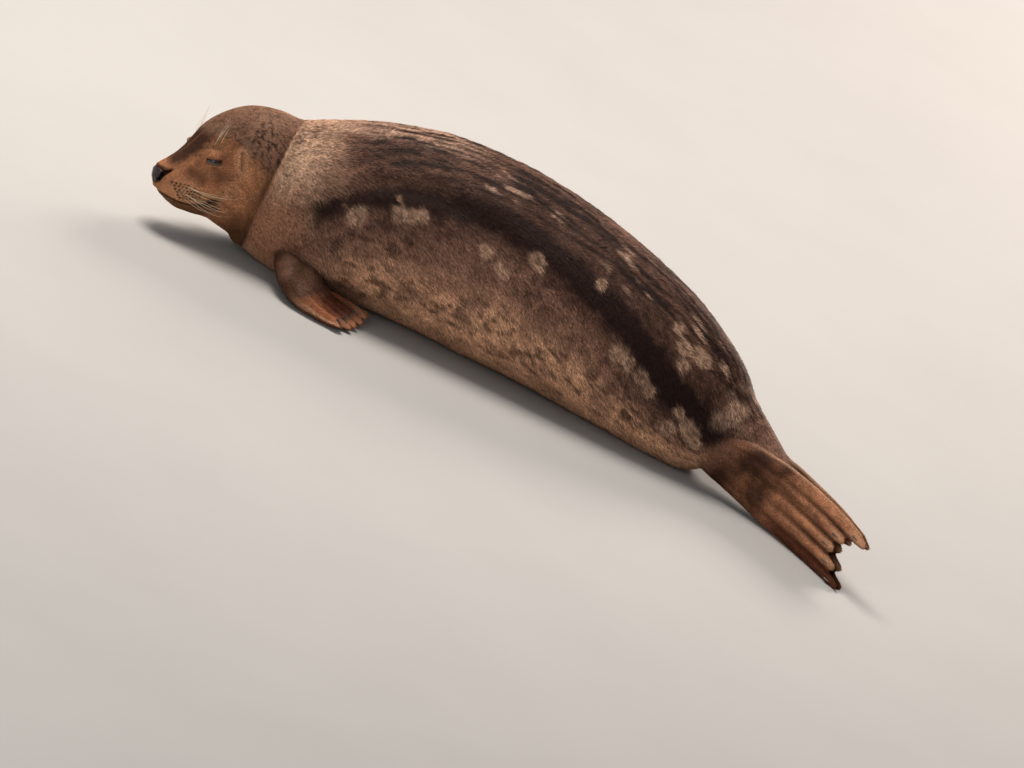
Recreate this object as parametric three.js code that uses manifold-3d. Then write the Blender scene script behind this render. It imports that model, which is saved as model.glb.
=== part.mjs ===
// A harbor seal at life size, asleep on its belly. The head is low and turned to the seal's left,
// the fore flippers are folded back beside the chest, and the hind flippers lie sole to sole.
//
// Frame, in millimetres: +Z up, the floor at z = 0, the head towards -X and the tail towards +X.
// The seal's left side faces -Y. The origin is on the flat under the belly, on the middle line.

import * as THREE from "three";
import { mergeVertices } from "three/addons/utils/BufferGeometryUtils.js";
import Module from "manifold-3d";

const wasm = await Module();
wasm.setup();

// ---- Fineness and fits ----

const GAP = 0.3; // clear space between two pieces that meet
const BODY_SIDES = 28; // facets round the body
const HEAD_STEP = 11; // distance between rings along the head
const TRUNK_STEP = 38; // and along the neck, trunk and tail
const LIMB_STEPS = 10; // rings along a flipper
const BLADE_COLUMNS = 15; // strips across each face of a flipper, three to a digit
const CLAW_SIDES = 6; // an even number, as every ring has
const CLAW_STEPS = 2;

// ---- The head, in its own frame ----
// back is the distance behind the nose tip. top, bottom and level are heights over the line through
// the nose tip, level being where the head is widest, and half is half the width there. round is how
// square the section is over its level, 2 being an ellipse and less being more like a roof.

const NOSE_TIP = [-756, -202, 93];
const HEAD_LEAN = { yaw: 36, pitch: 28.5, roll: 9 };

const HEAD_PROFILE = [
  { at: "nose tip", back: 0, top: 9, bottom: -18, level: -5, half: 12, round: 1.9 },
  { at: "nose pad", back: 5, top: 19, bottom: -34, level: -10, half: 23, round: 1.8 },
  { at: "lips", back: 15, top: 25, bottom: -48, level: -18, half: 32, round: 1.7 },
  { at: "whisker pads", back: 32, top: 30, bottom: -64, level: -24, half: 40, round: 1.65 },
  { at: "muzzle", back: 52, top: 36, bottom: -77, level: -25, half: 45, round: 1.7 },
  { at: "stop", back: 72, top: 45, bottom: -92, level: -22, half: 50, round: 1.8 },
  { at: "eyes", back: 94, top: 57, bottom: -108, level: -18, half: 59, round: 1.9 },
  { at: "brow", back: 116, top: 71, bottom: -130, level: -18, half: 68, round: 1.95 },
  { at: "crown", back: 140, top: 83, bottom: -156, level: -24, half: 78, round: 2 },
];

// Swellings and hollows of the head: place and reach are back, to each side and up, and out is how
// far the surface is pushed out of its section.
const HEAD_FORMS = [
  { at: "whisker pad", place: [34, 32, -26], reach: [24, 20, 22], out: 5 },
  { at: "eye mound", place: [108, 54, 22], reach: [20, 18, 18], out: 3 },
  { at: "brow", place: [120, 32, 56], reach: [20, 18, 16], out: 2 },
  { at: "hollow before the eye", place: [72, 42, 10], reach: [18, 16, 18], out: -3 },
  { at: "cheek", place: [124, 66, -52], reach: [34, 26, 34], out: 4 },
];

// ---- Neck, trunk and tail, in the floor's frame ----
// x, y, z is the middle of each section, at the height where it is widest. over and under are how far
// the section reaches from there, and half is half its width. What would be under the floor is cut off
// flat. yaw turns the section, pitch tips it forward and roll leans it to one side.

const BODY_PROFILE = [
  { at: "ears", x: -608, y: -111, z: 146, over: 135, under: 139, half: 91, yaw: 25, pitch: 16, roll: 5 },
  { at: "nape", x: -581, y: -97, z: 145, over: 142, under: 136, half: 100, yaw: 16, pitch: 8, roll: 3 },
  { at: "neck fold", x: -552, y: -81, z: 134, over: 150, under: 126, half: 107, yaw: 9 },
  { at: "neck", x: -510, y: -73, z: 136, over: 163, under: 138, half: 124, yaw: 11 },
  { at: "shoulders", x: -440, y: -54, z: 139, over: 184, under: 147, half: 149, yaw: 16 },
  { at: "chest", x: -355, y: -27, z: 143, over: 205, under: 150, half: 170, yaw: 15 },
  { at: "ribs", x: -260, y: -4, z: 147, over: 216, under: 154, half: 183, yaw: 9 },
  { at: "highest back", x: -150, y: 8, z: 149, over: 220, under: 156, half: 188, yaw: 3 },
  { at: "belly", x: -40, y: 8, z: 147, over: 215, under: 154, half: 185, yaw: -3 },
  { at: "flank", x: 70, y: -2, z: 142, over: 205, under: 149, half: 176, yaw: -7 },
  { at: "loin", x: 170, y: -18, z: 133, over: 193, under: 140, half: 160, yaw: -11 },
  { at: "hips", x: 260, y: -38, z: 121, over: 182, under: 127, half: 138, yaw: -14 },
  { at: "rump", x: 340, y: -60, z: 110, over: 161, under: 115, half: 112, yaw: -17 },
  { at: "vent", x: 405, y: -80, z: 106, over: 128, under: 99, half: 84, yaw: -20 },
  { at: "tail root", x: 450, y: -97, z: 114, over: 82, under: 64, half: 56, yaw: -22 },
  { at: "tail", x: 500, y: -119, z: 126, over: 42, under: 28, half: 33, yaw: -25 },
  { at: "tail end", x: 550, y: -143, z: 122, over: 18, under: 14, half: 25, yaw: -27 },
  { at: "tail tip", x: 584, y: -161, z: 113, over: 7, under: 6, half: 11, yaw: -27 },
];

const CHEST_MIDDLE = -22; // y of the chest's middle line, about which the fore limbs are a pair

// Swellings of the trunk, the same on both sides of the chest's middle line: x, the distance from that
// line, and z of the place, then its reach in each direction and how far the surface is pushed out.
const TRUNK_FORMS = [{ at: "upper arm", place: [-436, 150, 92], reach: [62, 50, 52], out: 14 }];

const BACK_ROUND = 2.05; // squareness of the neck and trunk over the level
const BELLY_ROUND = 2.15; // and of every section under it

const BODY_PIECES = [
  { name: "head", from: "nose tip", to: "neck fold", step: HEAD_STEP, color: 0x8a6242 },
  { name: "neck", from: "neck fold", to: "shoulders", step: TRUNK_STEP, color: 0xa18a72 },
  { name: "chest", from: "shoulders", to: "ribs", step: TRUNK_STEP, color: 0x8b7565 },
  { name: "belly", from: "ribs", to: "flank", step: TRUNK_STEP, color: 0x7f6a5b },
  { name: "loin", from: "flank", to: "hips", step: TRUNK_STEP, color: 0x76604f },
  { name: "rump", from: "hips", to: "tail root", step: TRUNK_STEP, color: 0x7a5f4b },
  { name: "tail", from: "tail root", to: "tail tip", step: TRUNK_STEP, color: 0x85654a },
];

const FLIPPER_COLOR = 0x8b5f3d;

// ---- Flippers ----
// Each is a fan of five digits on a bent blade. x, y, z is the middle of the blade, across is the
// compass heading of its width in degrees, tilt lifts that heading off level, wide and thick are
// half sizes, and cup raises both edges of the blade.

const FORE_BLADE = [
  { at: "arm", x: -454, y: -116, z: 92, across: 18, tilt: 14, wide: 46, thick: 30, cup: 0 },
  { at: "forearm", x: -440, y: -174, z: 60, across: 32, tilt: 10, wide: 48, thick: 27, cup: 0 },
  { at: "wrist", x: -408, y: -217, z: 33, across: 58, tilt: 6, wide: 54, thick: 24, cup: 0 },
  { at: "palm", x: -366, y: -221, z: 18, across: 82, tilt: 4, wide: 62, thick: 18, cup: 3 },
  { at: "knuckles", x: -323, y: -217, z: 11, across: 80, tilt: 4, wide: 68, thick: 13, cup: 9 },
  { at: "fingertips", x: -278, y: -224, z: 8, across: 74, tilt: 4, wide: 70, thick: 9, cup: 10 },
];

const HIND_BLADE = [
  { at: "leg", x: 372, y: -68, z: 92, across: 0, tilt: 90, wide: 50, thick: 24, cup: 0 },
  { at: "ankle", x: 440, y: -93, z: 82, across: 0, tilt: 90, wide: 53, thick: 27, cup: 0 },
  { at: "heel", x: 500, y: -121, z: 76, across: 0, tilt: 90, wide: 57, thick: 23, cup: 0 },
  { at: "instep", x: 560, y: -157, z: 71, across: 0, tilt: 90, wide: 64, thick: 17, cup: -2 },
  { at: "sole", x: 622, y: -203, z: 67, across: 0, tilt: 90, wide: 67, thick: 12, cup: -4 },
  { at: "knuckles", x: 690, y: -263, z: 63, across: 0, tilt: 90, wide: 68, thick: 9, cup: -5 },
  { at: "toe tips", x: 767, y: -347, z: 58, across: 0, tilt: 90, wide: 64, thick: 6, cup: -5 },
];

// reach is each digit's length as a share of the blade, from the +1 edge of the blade to the -1 edge.
const FORE_REACH = [0.98, 0.99, 0.98, 0.97, 0.92];
const HIND_REACH = [1.0, 0.89, 0.86, 0.91, 0.965];
const WEB_THIN = 0.55; // how much thinner the web between two digits is, at the tips
const WEB_NOTCH = 0.05; // how far the web stops short of the digits
const WEB_START = 0.2; // where a web begins, from the middle of one digit to that of the next
const TIP_START = 0.86; // where along a flipper its digits begin to round off
const SOLE_GAP = 2; // half the space between the two soles

// ---- Eyes, nose, mouth and claws ----

const EYE = { place: [107, 45, 20], radius: 17, sides: 14, rings: 7 };
// The line of the lips, as distances behind the nose tip and heights, then how far the jaw's back face
// leans and how far the cut reaches under and to the sides of the head.
const LIPS = [[-30, -18], [3, -28], [28, -46], [50, -59], [74, -64], [92, -54]];
const JAW_CUT = { lean: 12, below: 170 };
const NOSE_PAD = { depth: 24, half: 18, top: 30, bottom: -11, fineness: 8 };
// along and lift place a claw's root on its digit: the share of its length, and of its thickness.
const FORE_CLAW = { long: 22, radius: 3.4, hook: 0.22, along: 0.88, lift: 0.85 };
const HIND_CLAW = { long: 16, radius: 2.4, hook: 0.15, along: 0.92, lift: 0.9 };
const CLAW_AIM = 0.05; // how far ahead on the digit a claw points, as a share of the digit
const CLAW_WIDTH = 0.8; // a claw's width as a share of its height
const CLAW_POINT = 0.97; // how much of its girth, squared, a claw has lost at its tip

// ---- Curves through stations ----

const sum = (a, b, share = 1) => a.clone().addScaledVector(b, share);
const radians = THREE.MathUtils.degToRad;

// Every number of a list of stations becomes a smooth function of the distance along their middle
// line: a cubic between stations, whose slope at each is that of the parabola through its neighbours.
function smoothly(stations) {
  const along = [0];
  for (let i = 1; i < stations.length; i++) {
    const [a, b] = [stations[i - 1], stations[i]];
    along.push(along[i - 1] + Math.hypot(b.x - a.x, b.y - a.y, b.z - a.z));
  }
  const keys = Object.keys(stations[0]).filter((key) => typeof stations[0][key] === "number");
  const rise = (key, i) => (stations[i + 1][key] - stations[i][key]) / (along[i + 1] - along[i]);
  const slope = (key, i) => {
    if (i === 0) return rise(key, 0);
    if (i === stations.length - 1) return rise(key, i - 1);
    const [before, after] = [along[i] - along[i - 1], along[i + 1] - along[i]];
    return (rise(key, i - 1) * after + rise(key, i) * before) / (before + after);
  };
  const at = (distance) => {
    let i = 0;
    while (i < stations.length - 2 && distance > along[i + 1]) i++;
    const span = along[i + 1] - along[i];
    const t = (distance - along[i]) / span;
    const station = {};
    for (const key of keys) {
      const [a, b] = [stations[i][key], stations[i + 1][key]];
      const [m, n] = [slope(key, i) * span, slope(key, i + 1) * span];
      station[key] = a + t * (m + t * (3 * (b - a) - 2 * m - n + t * (2 * (a - b) + m + n)));
    }
    return station;
  };
  return { at, along, place: (name) => along[stations.findIndex((s) => s.at === name)] };
}

// Back, left and up of a section that is turned by yaw, then tipped by pitch, then rolled.
function axes({ yaw, pitch, roll }) {
  const [y, p, r] = [yaw, pitch, roll].map(radians);
  const back = new THREE.Vector3(Math.cos(y) * Math.cos(p), Math.sin(y) * Math.cos(p), Math.sin(p));
  const level = new THREE.Vector3(Math.sin(y), -Math.cos(y), 0);
  const upright = new THREE.Vector3().crossVectors(level, back);
  const left = level.clone().multiplyScalar(Math.cos(r)).addScaledVector(upright, Math.sin(r));
  const up = upright.clone().multiplyScalar(Math.cos(r)).addScaledVector(level, -Math.sin(r));
  return { back, left, up };
}

const headAxes = axes(HEAD_LEAN);
const noseTip = new THREE.Vector3(...NOSE_TIP);

function headPoint(back, left, up) {
  const point = sum(noseTip, headAxes.back, back);
  return point.addScaledVector(headAxes.left, left).addScaledVector(headAxes.up, up);
}

function inHead(point) {
  const from = point.clone().sub(noseTip);
  return [from.dot(headAxes.back), from.dot(headAxes.left), from.dot(headAxes.up)];
}

// ---- The body's surface ----

const headStations = HEAD_PROFILE.map(({ at, back, top, bottom, level, half, round }) => {
  const { x, y, z } = headPoint(back, 0, level);
  return { at, x, y, z, over: top - level, under: level - bottom, half, round, ...HEAD_LEAN };
});
const trunkStations = BODY_PROFILE.map((s) => ({ pitch: 0, roll: 0, round: BACK_ROUND, ...s }));
const body = smoothly([...headStations, ...trunkStations]);

// The sum of bell-shaped swellings at places given by three distances, the middle one on each side.
function bells(forms, [first, side, last]) {
  let out = 0;
  for (const form of forms) {
    const [a, b, c] = form.place;
    const [ra, rb, rc] = form.reach;
    const far = ((first - a) / ra) ** 2 + ((Math.abs(side) - b) / rb) ** 2 + ((last - c) / rc) ** 2;
    out += form.out * Math.exp(-far);
  }
  return out;
}

function swellingAt(point) {
  return bells(HEAD_FORMS, inHead(point)) + bells(TRUNK_FORMS, [point.x, point.y - CHEST_MIDDLE, point.z]);
}

// One ring of the body, from the middle of the back round by the left side, grown outwards by extra.
function bodyRing(distance, extra = 0) {
  const s = body.at(distance);
  const centre = new THREE.Vector3(s.x, s.y, s.z);
  const { left, up } = axes(s);
  const ring = [];
  for (let i = 0; i < BODY_SIDES; i++) {
    const turn = (2 * Math.PI * i) / BODY_SIDES;
    const [sin, cos] = [Math.sin(turn), Math.cos(turn)];
    const power = 2 / (cos > 0 ? s.round : BELLY_ROUND);
    const height = (cos > 0 ? s.over : s.under) + extra;
    const outward = left.clone().multiplyScalar(Math.sign(sin) * Math.abs(sin) ** power * (s.half + extra));
    outward.addScaledVector(up, Math.sign(cos) * Math.abs(cos) ** power * height);
    const swelling = swellingAt(sum(centre, outward));
    const point = sum(centre, outward, 1 + swelling / outward.length());
    point.z = Math.max(point.z, -extra);
    ring.push(point);
  }
  return ring;
}

// A closed surface over rings of the same even count, each end shut by strips across its ring.
function loft(rings) {
  const count = rings[0].length;
  const places = rings.flat().flatMap((point) => [point.x, point.y, point.z]);
  const faces = [];
  for (let row = 0; row < rings.length - 1; row++) {
    for (let i = 0; i < count; i++) {
      const [a, b] = [row * count + i, row * count + ((i + 1) % count)];
      faces.push(a, b, b + count, a, b + count, a + count);
    }
  }
  const last = (rings.length - 1) * count;
  for (let i = 0; i < count / 2; i++) {
    const [a, b, c, d] = [i, i + 1, count - i - 1, (count - i) % count];
    if (b !== c) faces.push(a, c, b, last + a, last + b, last + c);
    if (d !== a) faces.push(a, d, c, last + a, last + c, last + d);
  }
  const geometry = new THREE.BufferGeometry();
  geometry.setAttribute("position", new THREE.Float32BufferAttribute(places, 3));
  geometry.setIndex(faces);
  return geometry;
}

// The body from one distance along it to another.
function bodyLength(start, end, step, extra = 0) {
  const count = Math.ceil((end - start) / step);
  const rings = [];
  for (let i = 0; i <= count; i++) rings.push(bodyRing(start + ((end - start) * i) / count, extra));
  return loft(rings);
}

// ---- Joining and cutting ----

function solid(geometry) {
  const bare = geometry.index ? geometry.clone() : geometry;
  bare.deleteAttribute("normal");
  bare.deleteAttribute("uv");
  const merged = mergeVertices(bare, 1e-4);
  const vertProperties = new Float32Array(merged.attributes.position.array);
  return new wasm.Manifold(
    new wasm.Mesh({ numProp: 3, vertProperties, triVerts: new Uint32Array(merged.index.array) }),
  );
}

function surface(manifold) {
  const { vertProperties, triVerts } = manifold.getMesh();
  const geometry = new THREE.BufferGeometry();
  geometry.setAttribute("position", new THREE.BufferAttribute(new Float32Array(vertProperties), 3));
  geometry.setIndex(new THREE.BufferAttribute(new Uint32Array(triVerts), 1));
  geometry.computeVertexNormals();
  return geometry;
}

// ---- Flippers ----

const DIGITS = 5;
const digitPlace = (digit) => 1 - (2 * digit + 1) / DIGITS; // +0.8, +0.4, 0, -0.4, -0.8

// 1 along the middle of a digit, 0 along the middle of a web.
const ridge = (across) => 0.5 + 0.5 * Math.cos(Math.PI * DIGITS * across);

function reachAt(reach, across) {
  const place = THREE.MathUtils.clamp(((1 - across) * DIGITS - 1) / 2, 0, DIGITS - 1);
  const digit = Math.min(Math.floor(place), DIGITS - 2);
  const share = THREE.MathUtils.smoothstep(place - digit, WEB_START, 1 - WEB_START);
  return THREE.MathUtils.lerp(reach[digit], reach[digit + 1], share);
}

// A flipper is a blade along its middle line. hand is -1 for a fore flipper on the right. lie is +1
// or -1 for a hind flipper on the left or the right of the middle line that the two share.
function flipper({ blade, reach, claw, hand = 1, lie = 0 }) {
  const line = smoothly(blade);
  const whole = line.along.at(-1);
  const outward = lie || 1;

  const frameAt = (share) => {
    const s = line.at(share * whole);
    const ahead = line.at(share * whole + 1);
    const along = new THREE.Vector3(ahead.x - s.x, ahead.y - s.y, ahead.z - s.z).normalize();
    const [heading, tilt] = [radians(s.across), radians(s.tilt)];
    const flat = Math.cos(tilt);
    const wide = new THREE.Vector3(Math.cos(heading) * flat, Math.sin(heading) * flat, Math.sin(tilt));
    wide.addScaledVector(along, -wide.dot(along)).normalize();
    const thick = new THREE.Vector3().crossVectors(along, wide).multiplyScalar(outward);
    const centre = sum(new THREE.Vector3(s.x, s.y, s.z), thick, Math.abs(lie) * (s.thick + SOLE_GAP));
    return { s, centre, along, wide, thick };
  };

  // side runs from +1 on the back of the flipper to -1 on its palm or sole.
  const point = (share, across, side, extra = 0) => {
    const length = reachAt(reach, across) * (1 - WEB_NOTCH * (1 - ridge(across)) ** 2);
    const { s, centre, wide, thick } = frameAt(share * (1 - (1 - length) * share));
    const web = 1 - WEB_THIN * share * share * (1 - ridge(across));
    const rim = Math.sqrt(1 - Math.abs(across) ** 3);
    const tip = Math.sqrt(Math.max(0, 1 - Math.max(0, (share - TIP_START) / (1 - TIP_START)) ** 2));
    const at = sum(centre, wide, across * (s.wide + extra));
    at.addScaledVector(thick, side * (s.thick * web * rim * tip + extra) + s.cup * across * across);
    if (hand < 0) at.y = 2 * CHEST_MIDDLE - at.y;
    at.z = Math.max(at.z, -extra);
    return at;
  };

  const rings = (extra) => {
    const list = [];
    for (let row = 0; row <= LIMB_STEPS; row++) {
      const ring = [];
      for (let i = 0; i < 2 * BLADE_COLUMNS; i++) {
        const side = i <= BLADE_COLUMNS ? 1 : -1;
        const across = 1 - (2 * (side > 0 ? i : 2 * BLADE_COLUMNS - i)) / BLADE_COLUMNS;
        ring.push(point(row / LIMB_STEPS, across, side, extra));
      }
      list.push(hand * outward > 0 ? ring : mirrorRing(ring));
    }
    return list;
  };

  // The claws, one at the end of each digit: a hooked cone with its root in the digit.
  const claws = () => {
    const list = [];
    for (let digit = 0; digit < DIGITS; digit++) {
      const across = digitPlace(digit);
      const root = point(claw.along, across, claw.lift);
      const tip = point(claw.along + CLAW_AIM, across, claw.lift);
      const back = point(claw.along, across, 1).sub(point(claw.along, across, -1)).normalize();
      list.push({ root, along: tip.sub(root).normalize(), back });
    }
    return list;
  };

  return { geometry: (extra) => loft(rings(extra)), claws };
}

// The same ring the other way round, still starting at the same point.
const mirrorRing = (ring) => [ring[0], ...ring.slice(1).reverse()];

// A claw along +X, with its back towards +Z, hooked down at the tip.
function clawGeometry({ long, radius, hook }, extra = 0) {
  const rings = [];
  for (let row = 0; row <= CLAW_STEPS; row++) {
    const share = row / CLAW_STEPS;
    const girth = radius * Math.sqrt(1 - share * CLAW_POINT) + extra;
    const ring = [];
    for (let i = 0; i < CLAW_SIDES; i++) {
      const turn = (2 * Math.PI * i) / CLAW_SIDES;
      const drop = hook * long * share * share;
      const [side, up] = [Math.sin(turn) * girth * CLAW_WIDTH, Math.cos(turn) * girth];
      ring.push(new THREE.Vector3(share * long + (share - 0.5) * 2 * extra, -side, up - drop));
    }
    rings.push(ring);
  }
  return loft(rings);
}

// ---- The assembly ----

const group = new THREE.Group();

function skin(color) {
  return new THREE.MeshStandardMaterial({ color, roughness: 0.8, metalness: 0 });
}

function addPart(name, geometry, material) {
  const mesh = new THREE.Mesh(geometry, material);
  mesh.name = name;
  group.add(mesh);
  return mesh;
}

const horn = new THREE.MeshStandardMaterial({ color: 0x2a201b, roughness: 0.45, metalness: 0 });
const wetBlack = new THREE.MeshStandardMaterial({ color: 0x17120f, roughness: 0.15, metalness: 0 });
const noseLeather = new THREE.MeshStandardMaterial({ color: 0x2b2024, roughness: 0.5, metalness: 0 });

// The eyes are balls sunk in the head.
const eyeGeometry = new THREE.SphereGeometry(EYE.radius, EYE.sides, EYE.rings);
const socketGeometry = new THREE.SphereGeometry(EYE.radius + GAP, EYE.sides, EYE.rings);
const sockets = [];
for (const [name, side] of [["eye_left", 1], ["eye_right", -1]]) {
  const [back, out, up] = EYE.place;
  const eye = addPart(name, eyeGeometry, wetBlack);
  eye.position.copy(headPoint(back, side * out, up));
  eye.updateMatrix();
  sockets.push(solid(socketGeometry.clone().applyMatrix4(eye.matrix)));
}

// An outline in the head's frame, drawn in two of its directions and carried along the third.
function headPrism(shape, depth, toHead, curveSegments) {
  const geometry = new THREE.ExtrudeGeometry(shape, { depth, bevelEnabled: false, curveSegments });
  return solid(geometry.applyMatrix4(toHead));
}

const { back: headBack, left: headLeft, up: headUp } = headAxes;

// The lower jaw is all that is below the line of the lips and in front of the corner of the mouth.
function jawCut(extra) {
  const { lean, below } = JAW_CUT;
  const [front, corner] = [LIPS[0], LIPS.at(-1)];
  const shape = new THREE.Shape();
  shape.moveTo(front[0], -below);
  shape.lineTo(corner[0] + lean + extra, -below);
  for (const [back, height] of LIPS.toReversed()) shape.lineTo(back + extra, height + extra);
  const toHead = new THREE.Matrix4().makeBasis(headBack, headUp, headLeft);
  toHead.setPosition(headPoint(0, -below, 0));
  return headPrism(shape, 2 * below, toHead, 1);
}

// The nose pad is the front of the muzzle inside an upright oval.
function nosePadCut(extra) {
  const { half, top, bottom, depth, fineness } = NOSE_PAD;
  const shape = new THREE.Shape();
  shape.absellipse(0, (top + bottom) / 2, half + extra, (top - bottom) / 2 + extra, 0, 2 * Math.PI);
  const toHead = new THREE.Matrix4().makeBasis(headLeft.clone().negate(), headUp, headBack);
  toHead.setPosition(headPoint(-depth, 0, 0));
  return headPrism(shape, 2 * depth + extra, toHead, fineness);
}

const bodyStart = (name) => body.place(name) + (name === "nose tip" ? 0 : GAP / 2);
const bodyEnd = (name) => body.place(name) - (name === "tail tip" ? 0 : GAP / 2);

for (const { name, from, to, step, color } of BODY_PIECES) {
  const geometry = bodyLength(bodyStart(from), bodyEnd(to), step);
  if (name !== "head") {
    geometry.computeVertexNormals();
    addPart(name, geometry, skin(color));
    continue;
  }
  const whole = solid(geometry);
  const face = [jawCut(GAP), nosePadCut(GAP), ...sockets].reduce((rest, cut) => rest.subtract(cut), whole);
  addPart("head", surface(face), skin(color));
  addPart("lower_jaw", surface(whole.intersect(jawCut(0))), skin(color));
  addPart("nose", surface(whole.intersect(nosePadCut(0))), noseLeather);
}

// The flippers are cut back to where they leave the body.
const bodyRoom = BODY_PIECES.filter(({ name }) => name !== "head").map(({ from, to, step }) => {
  return solid(bodyLength(bodyStart(from) - GAP, bodyEnd(to) + GAP, step, GAP));
});
const FLIPPERS = [
  { name: "fore_flipper_left", blade: FORE_BLADE, reach: FORE_REACH, claw: FORE_CLAW, hand: 1 },
  { name: "fore_flipper_right", blade: FORE_BLADE, reach: FORE_REACH, claw: FORE_CLAW, hand: -1 },
  { name: "hind_flipper_left", blade: HIND_BLADE, reach: HIND_REACH, claw: HIND_CLAW, lie: 1 },
  { name: "hind_flipper_right", blade: HIND_BLADE, reach: HIND_REACH, claw: HIND_CLAW, lie: -1 },
];

for (const limb of FLIPPERS) {
  const { geometry, claws } = flipper(limb);
  let blade = bodyRoom.reduce((rest, room) => rest.subtract(room), solid(geometry(0)));
  claws().forEach(({ root, along, back }, digit) => {
    const sideways = new THREE.Vector3().crossVectors(back, along).normalize();
    const upright = new THREE.Vector3().crossVectors(along, sideways);
    const placed = new THREE.Matrix4().makeBasis(along, sideways, upright).setPosition(root);
    const claw = addPart(`${limb.name}_claw_${digit + 1}`, clawGeometry(limb.claw), horn);
    claw.geometry.computeVertexNormals();
    claw.applyMatrix4(placed);
    blade = blade.subtract(solid(clawGeometry(limb.claw, GAP).applyMatrix4(placed)));
  });
  const pieces = blade.decompose().sort((a, b) => b.volume() - a.volume());
  addPart(limb.name, surface(pieces[0]), skin(FLIPPER_COLOR));
}

export default group;
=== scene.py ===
"""A harbor seal at life size, asleep on its belly: one skin with its folds, a coat of short tufts,
whiskers, half-shut eyes, a nose pad and twenty claws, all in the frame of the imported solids."""

import bpy
import numpy as np
from mathutils import Matrix, Vector


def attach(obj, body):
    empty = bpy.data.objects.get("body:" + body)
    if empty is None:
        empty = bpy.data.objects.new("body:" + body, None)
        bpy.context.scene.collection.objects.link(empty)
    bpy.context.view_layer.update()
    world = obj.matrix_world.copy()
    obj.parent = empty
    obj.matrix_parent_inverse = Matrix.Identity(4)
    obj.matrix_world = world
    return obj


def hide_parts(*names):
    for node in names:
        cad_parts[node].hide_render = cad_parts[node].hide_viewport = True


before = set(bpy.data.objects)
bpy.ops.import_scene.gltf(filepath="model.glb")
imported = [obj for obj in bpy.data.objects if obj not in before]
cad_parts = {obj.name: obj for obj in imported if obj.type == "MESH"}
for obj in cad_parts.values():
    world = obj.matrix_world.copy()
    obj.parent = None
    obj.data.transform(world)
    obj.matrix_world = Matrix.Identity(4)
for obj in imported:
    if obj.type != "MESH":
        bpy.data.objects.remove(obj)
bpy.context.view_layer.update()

# ==== Studio ====
# A wide pale floor, a soft sky and three soft lamps: one high over the head, a strong warm one behind the
# back and a weak one low in front. The camera stands high and far off, and leans so that the floor runs
# down to the right.

CAMERA_AIM = Vector((0.0285, -0.03, -0.0165))
CAMERA_FAR = 38.0
CAMERA_SIGHT = 200.0
CAMERA_HEIGHT = np.radians(18.0)
CAMERA_LEAN = np.radians(26.5)
LENS_PER_METRE = 18.42


def set_camera():
    """Looks along +Y and down by the height angle, rolled by the lean, from CAMERA_FAR metres away."""
    ahead = Vector((0, np.cos(CAMERA_HEIGHT), -np.sin(CAMERA_HEIGHT)))
    level = Vector((1, 0, 0))
    raised = level.cross(ahead)
    right = level * np.cos(CAMERA_LEAN) + raised * np.sin(CAMERA_LEAN)
    up = raised * np.cos(CAMERA_LEAN) - level * np.sin(CAMERA_LEAN)
    data = bpy.data.cameras.new("camera")
    data.lens = LENS_PER_METRE * CAMERA_FAR
    data.clip_end = CAMERA_SIGHT
    camera = bpy.data.objects.new("camera", data)
    turn = Matrix((right, up, -ahead)).transposed().to_4x4()
    camera.matrix_world = Matrix.Translation(CAMERA_AIM - ahead * CAMERA_FAR) @ turn
    bpy.context.scene.collection.objects.link(camera)
    bpy.context.scene.camera = camera


def add_lamp(name, place, aim, size, power, colour):
    """A square soft lamp at place that shines towards aim."""
    data = bpy.data.lights.new(name, "AREA")
    data.size, data.energy, data.color = size, power, colour
    lamp = bpy.data.objects.new(name, data)
    lamp.location = place
    lamp.rotation_euler = (Vector(aim) - Vector(place)).to_track_quat("-Z", "Y").to_euler()
    bpy.context.scene.collection.objects.link(lamp)


set_camera()
add_lamp("key_lamp", (-1.7, 0.5, 3.7), (-0.1, 0.0, 0.15), 1.7, 215, (1.0, 0.93, 0.85))
add_lamp("back_lamp", (2.0, 5.2, 3.4), (0, 0, 0.2), 2.6, 400, (1.0, 0.88, 0.79))
add_lamp("fill_lamp", (-1.6, -3.6, 1.5), (0.0, -0.1, 0.1), 2.4, 34, (1.0, 0.95, 0.90))

SKY_COLOUR = (0.80, 0.80, 0.82, 1)
SKY_STRENGTH = 0.38

sky = bpy.data.worlds.new("sky")
bpy.context.scene.world = sky
sky.use_nodes = True
sky.node_tree.nodes["Background"].inputs["Color"].default_value = SKY_COLOUR
sky.node_tree.nodes["Background"].inputs["Strength"].default_value = SKY_STRENGTH
bpy.context.scene.view_settings.view_transform = "Standard"

FLOOR_REACH = 40.0


def add_node(tree, kind, settings=None, **values):
    """A node of that kind with its settings and the values of its named inputs."""
    node = tree.nodes.new(kind)
    for key, value in (settings or {}).items():
        setattr(node, key, value)
    for key, value in values.items():
        node.inputs[key.replace("_", " ")].default_value = value
    return node


def new_finish(name, **values):
    """A named material, its node tree, its shader with the values of its named inputs, and a node that
    gives each place on the object."""
    finish = bpy.data.materials.new(name)
    finish.use_nodes = True
    tree = finish.node_tree
    shader = next(node for node in tree.nodes if node.type == "BSDF_PRINCIPLED")
    for key, value in values.items():
        shader.inputs[key.replace("_", " ")].default_value = value
    return finish, tree, shader, add_node(tree, "ShaderNodeTexCoord")


def two_tones(tree, start, first, end, second):
    """A ramp that is the first colour up to start and the second one from end on."""
    ramp = add_node(tree, "ShaderNodeValToRGB")
    for stop, place, tone in zip(ramp.color_ramp.elements, (start, end), (first, second)):
        stop.position = place
        stop.color = (*tone, 1)
    return ramp


def join_nodes(tree, *links):
    """Joins nodes, each link being a node, its output, the next node and its input."""
    for node, output, target, socket in links:
        tree.links.new(node.outputs[output], target.inputs[socket])


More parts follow.
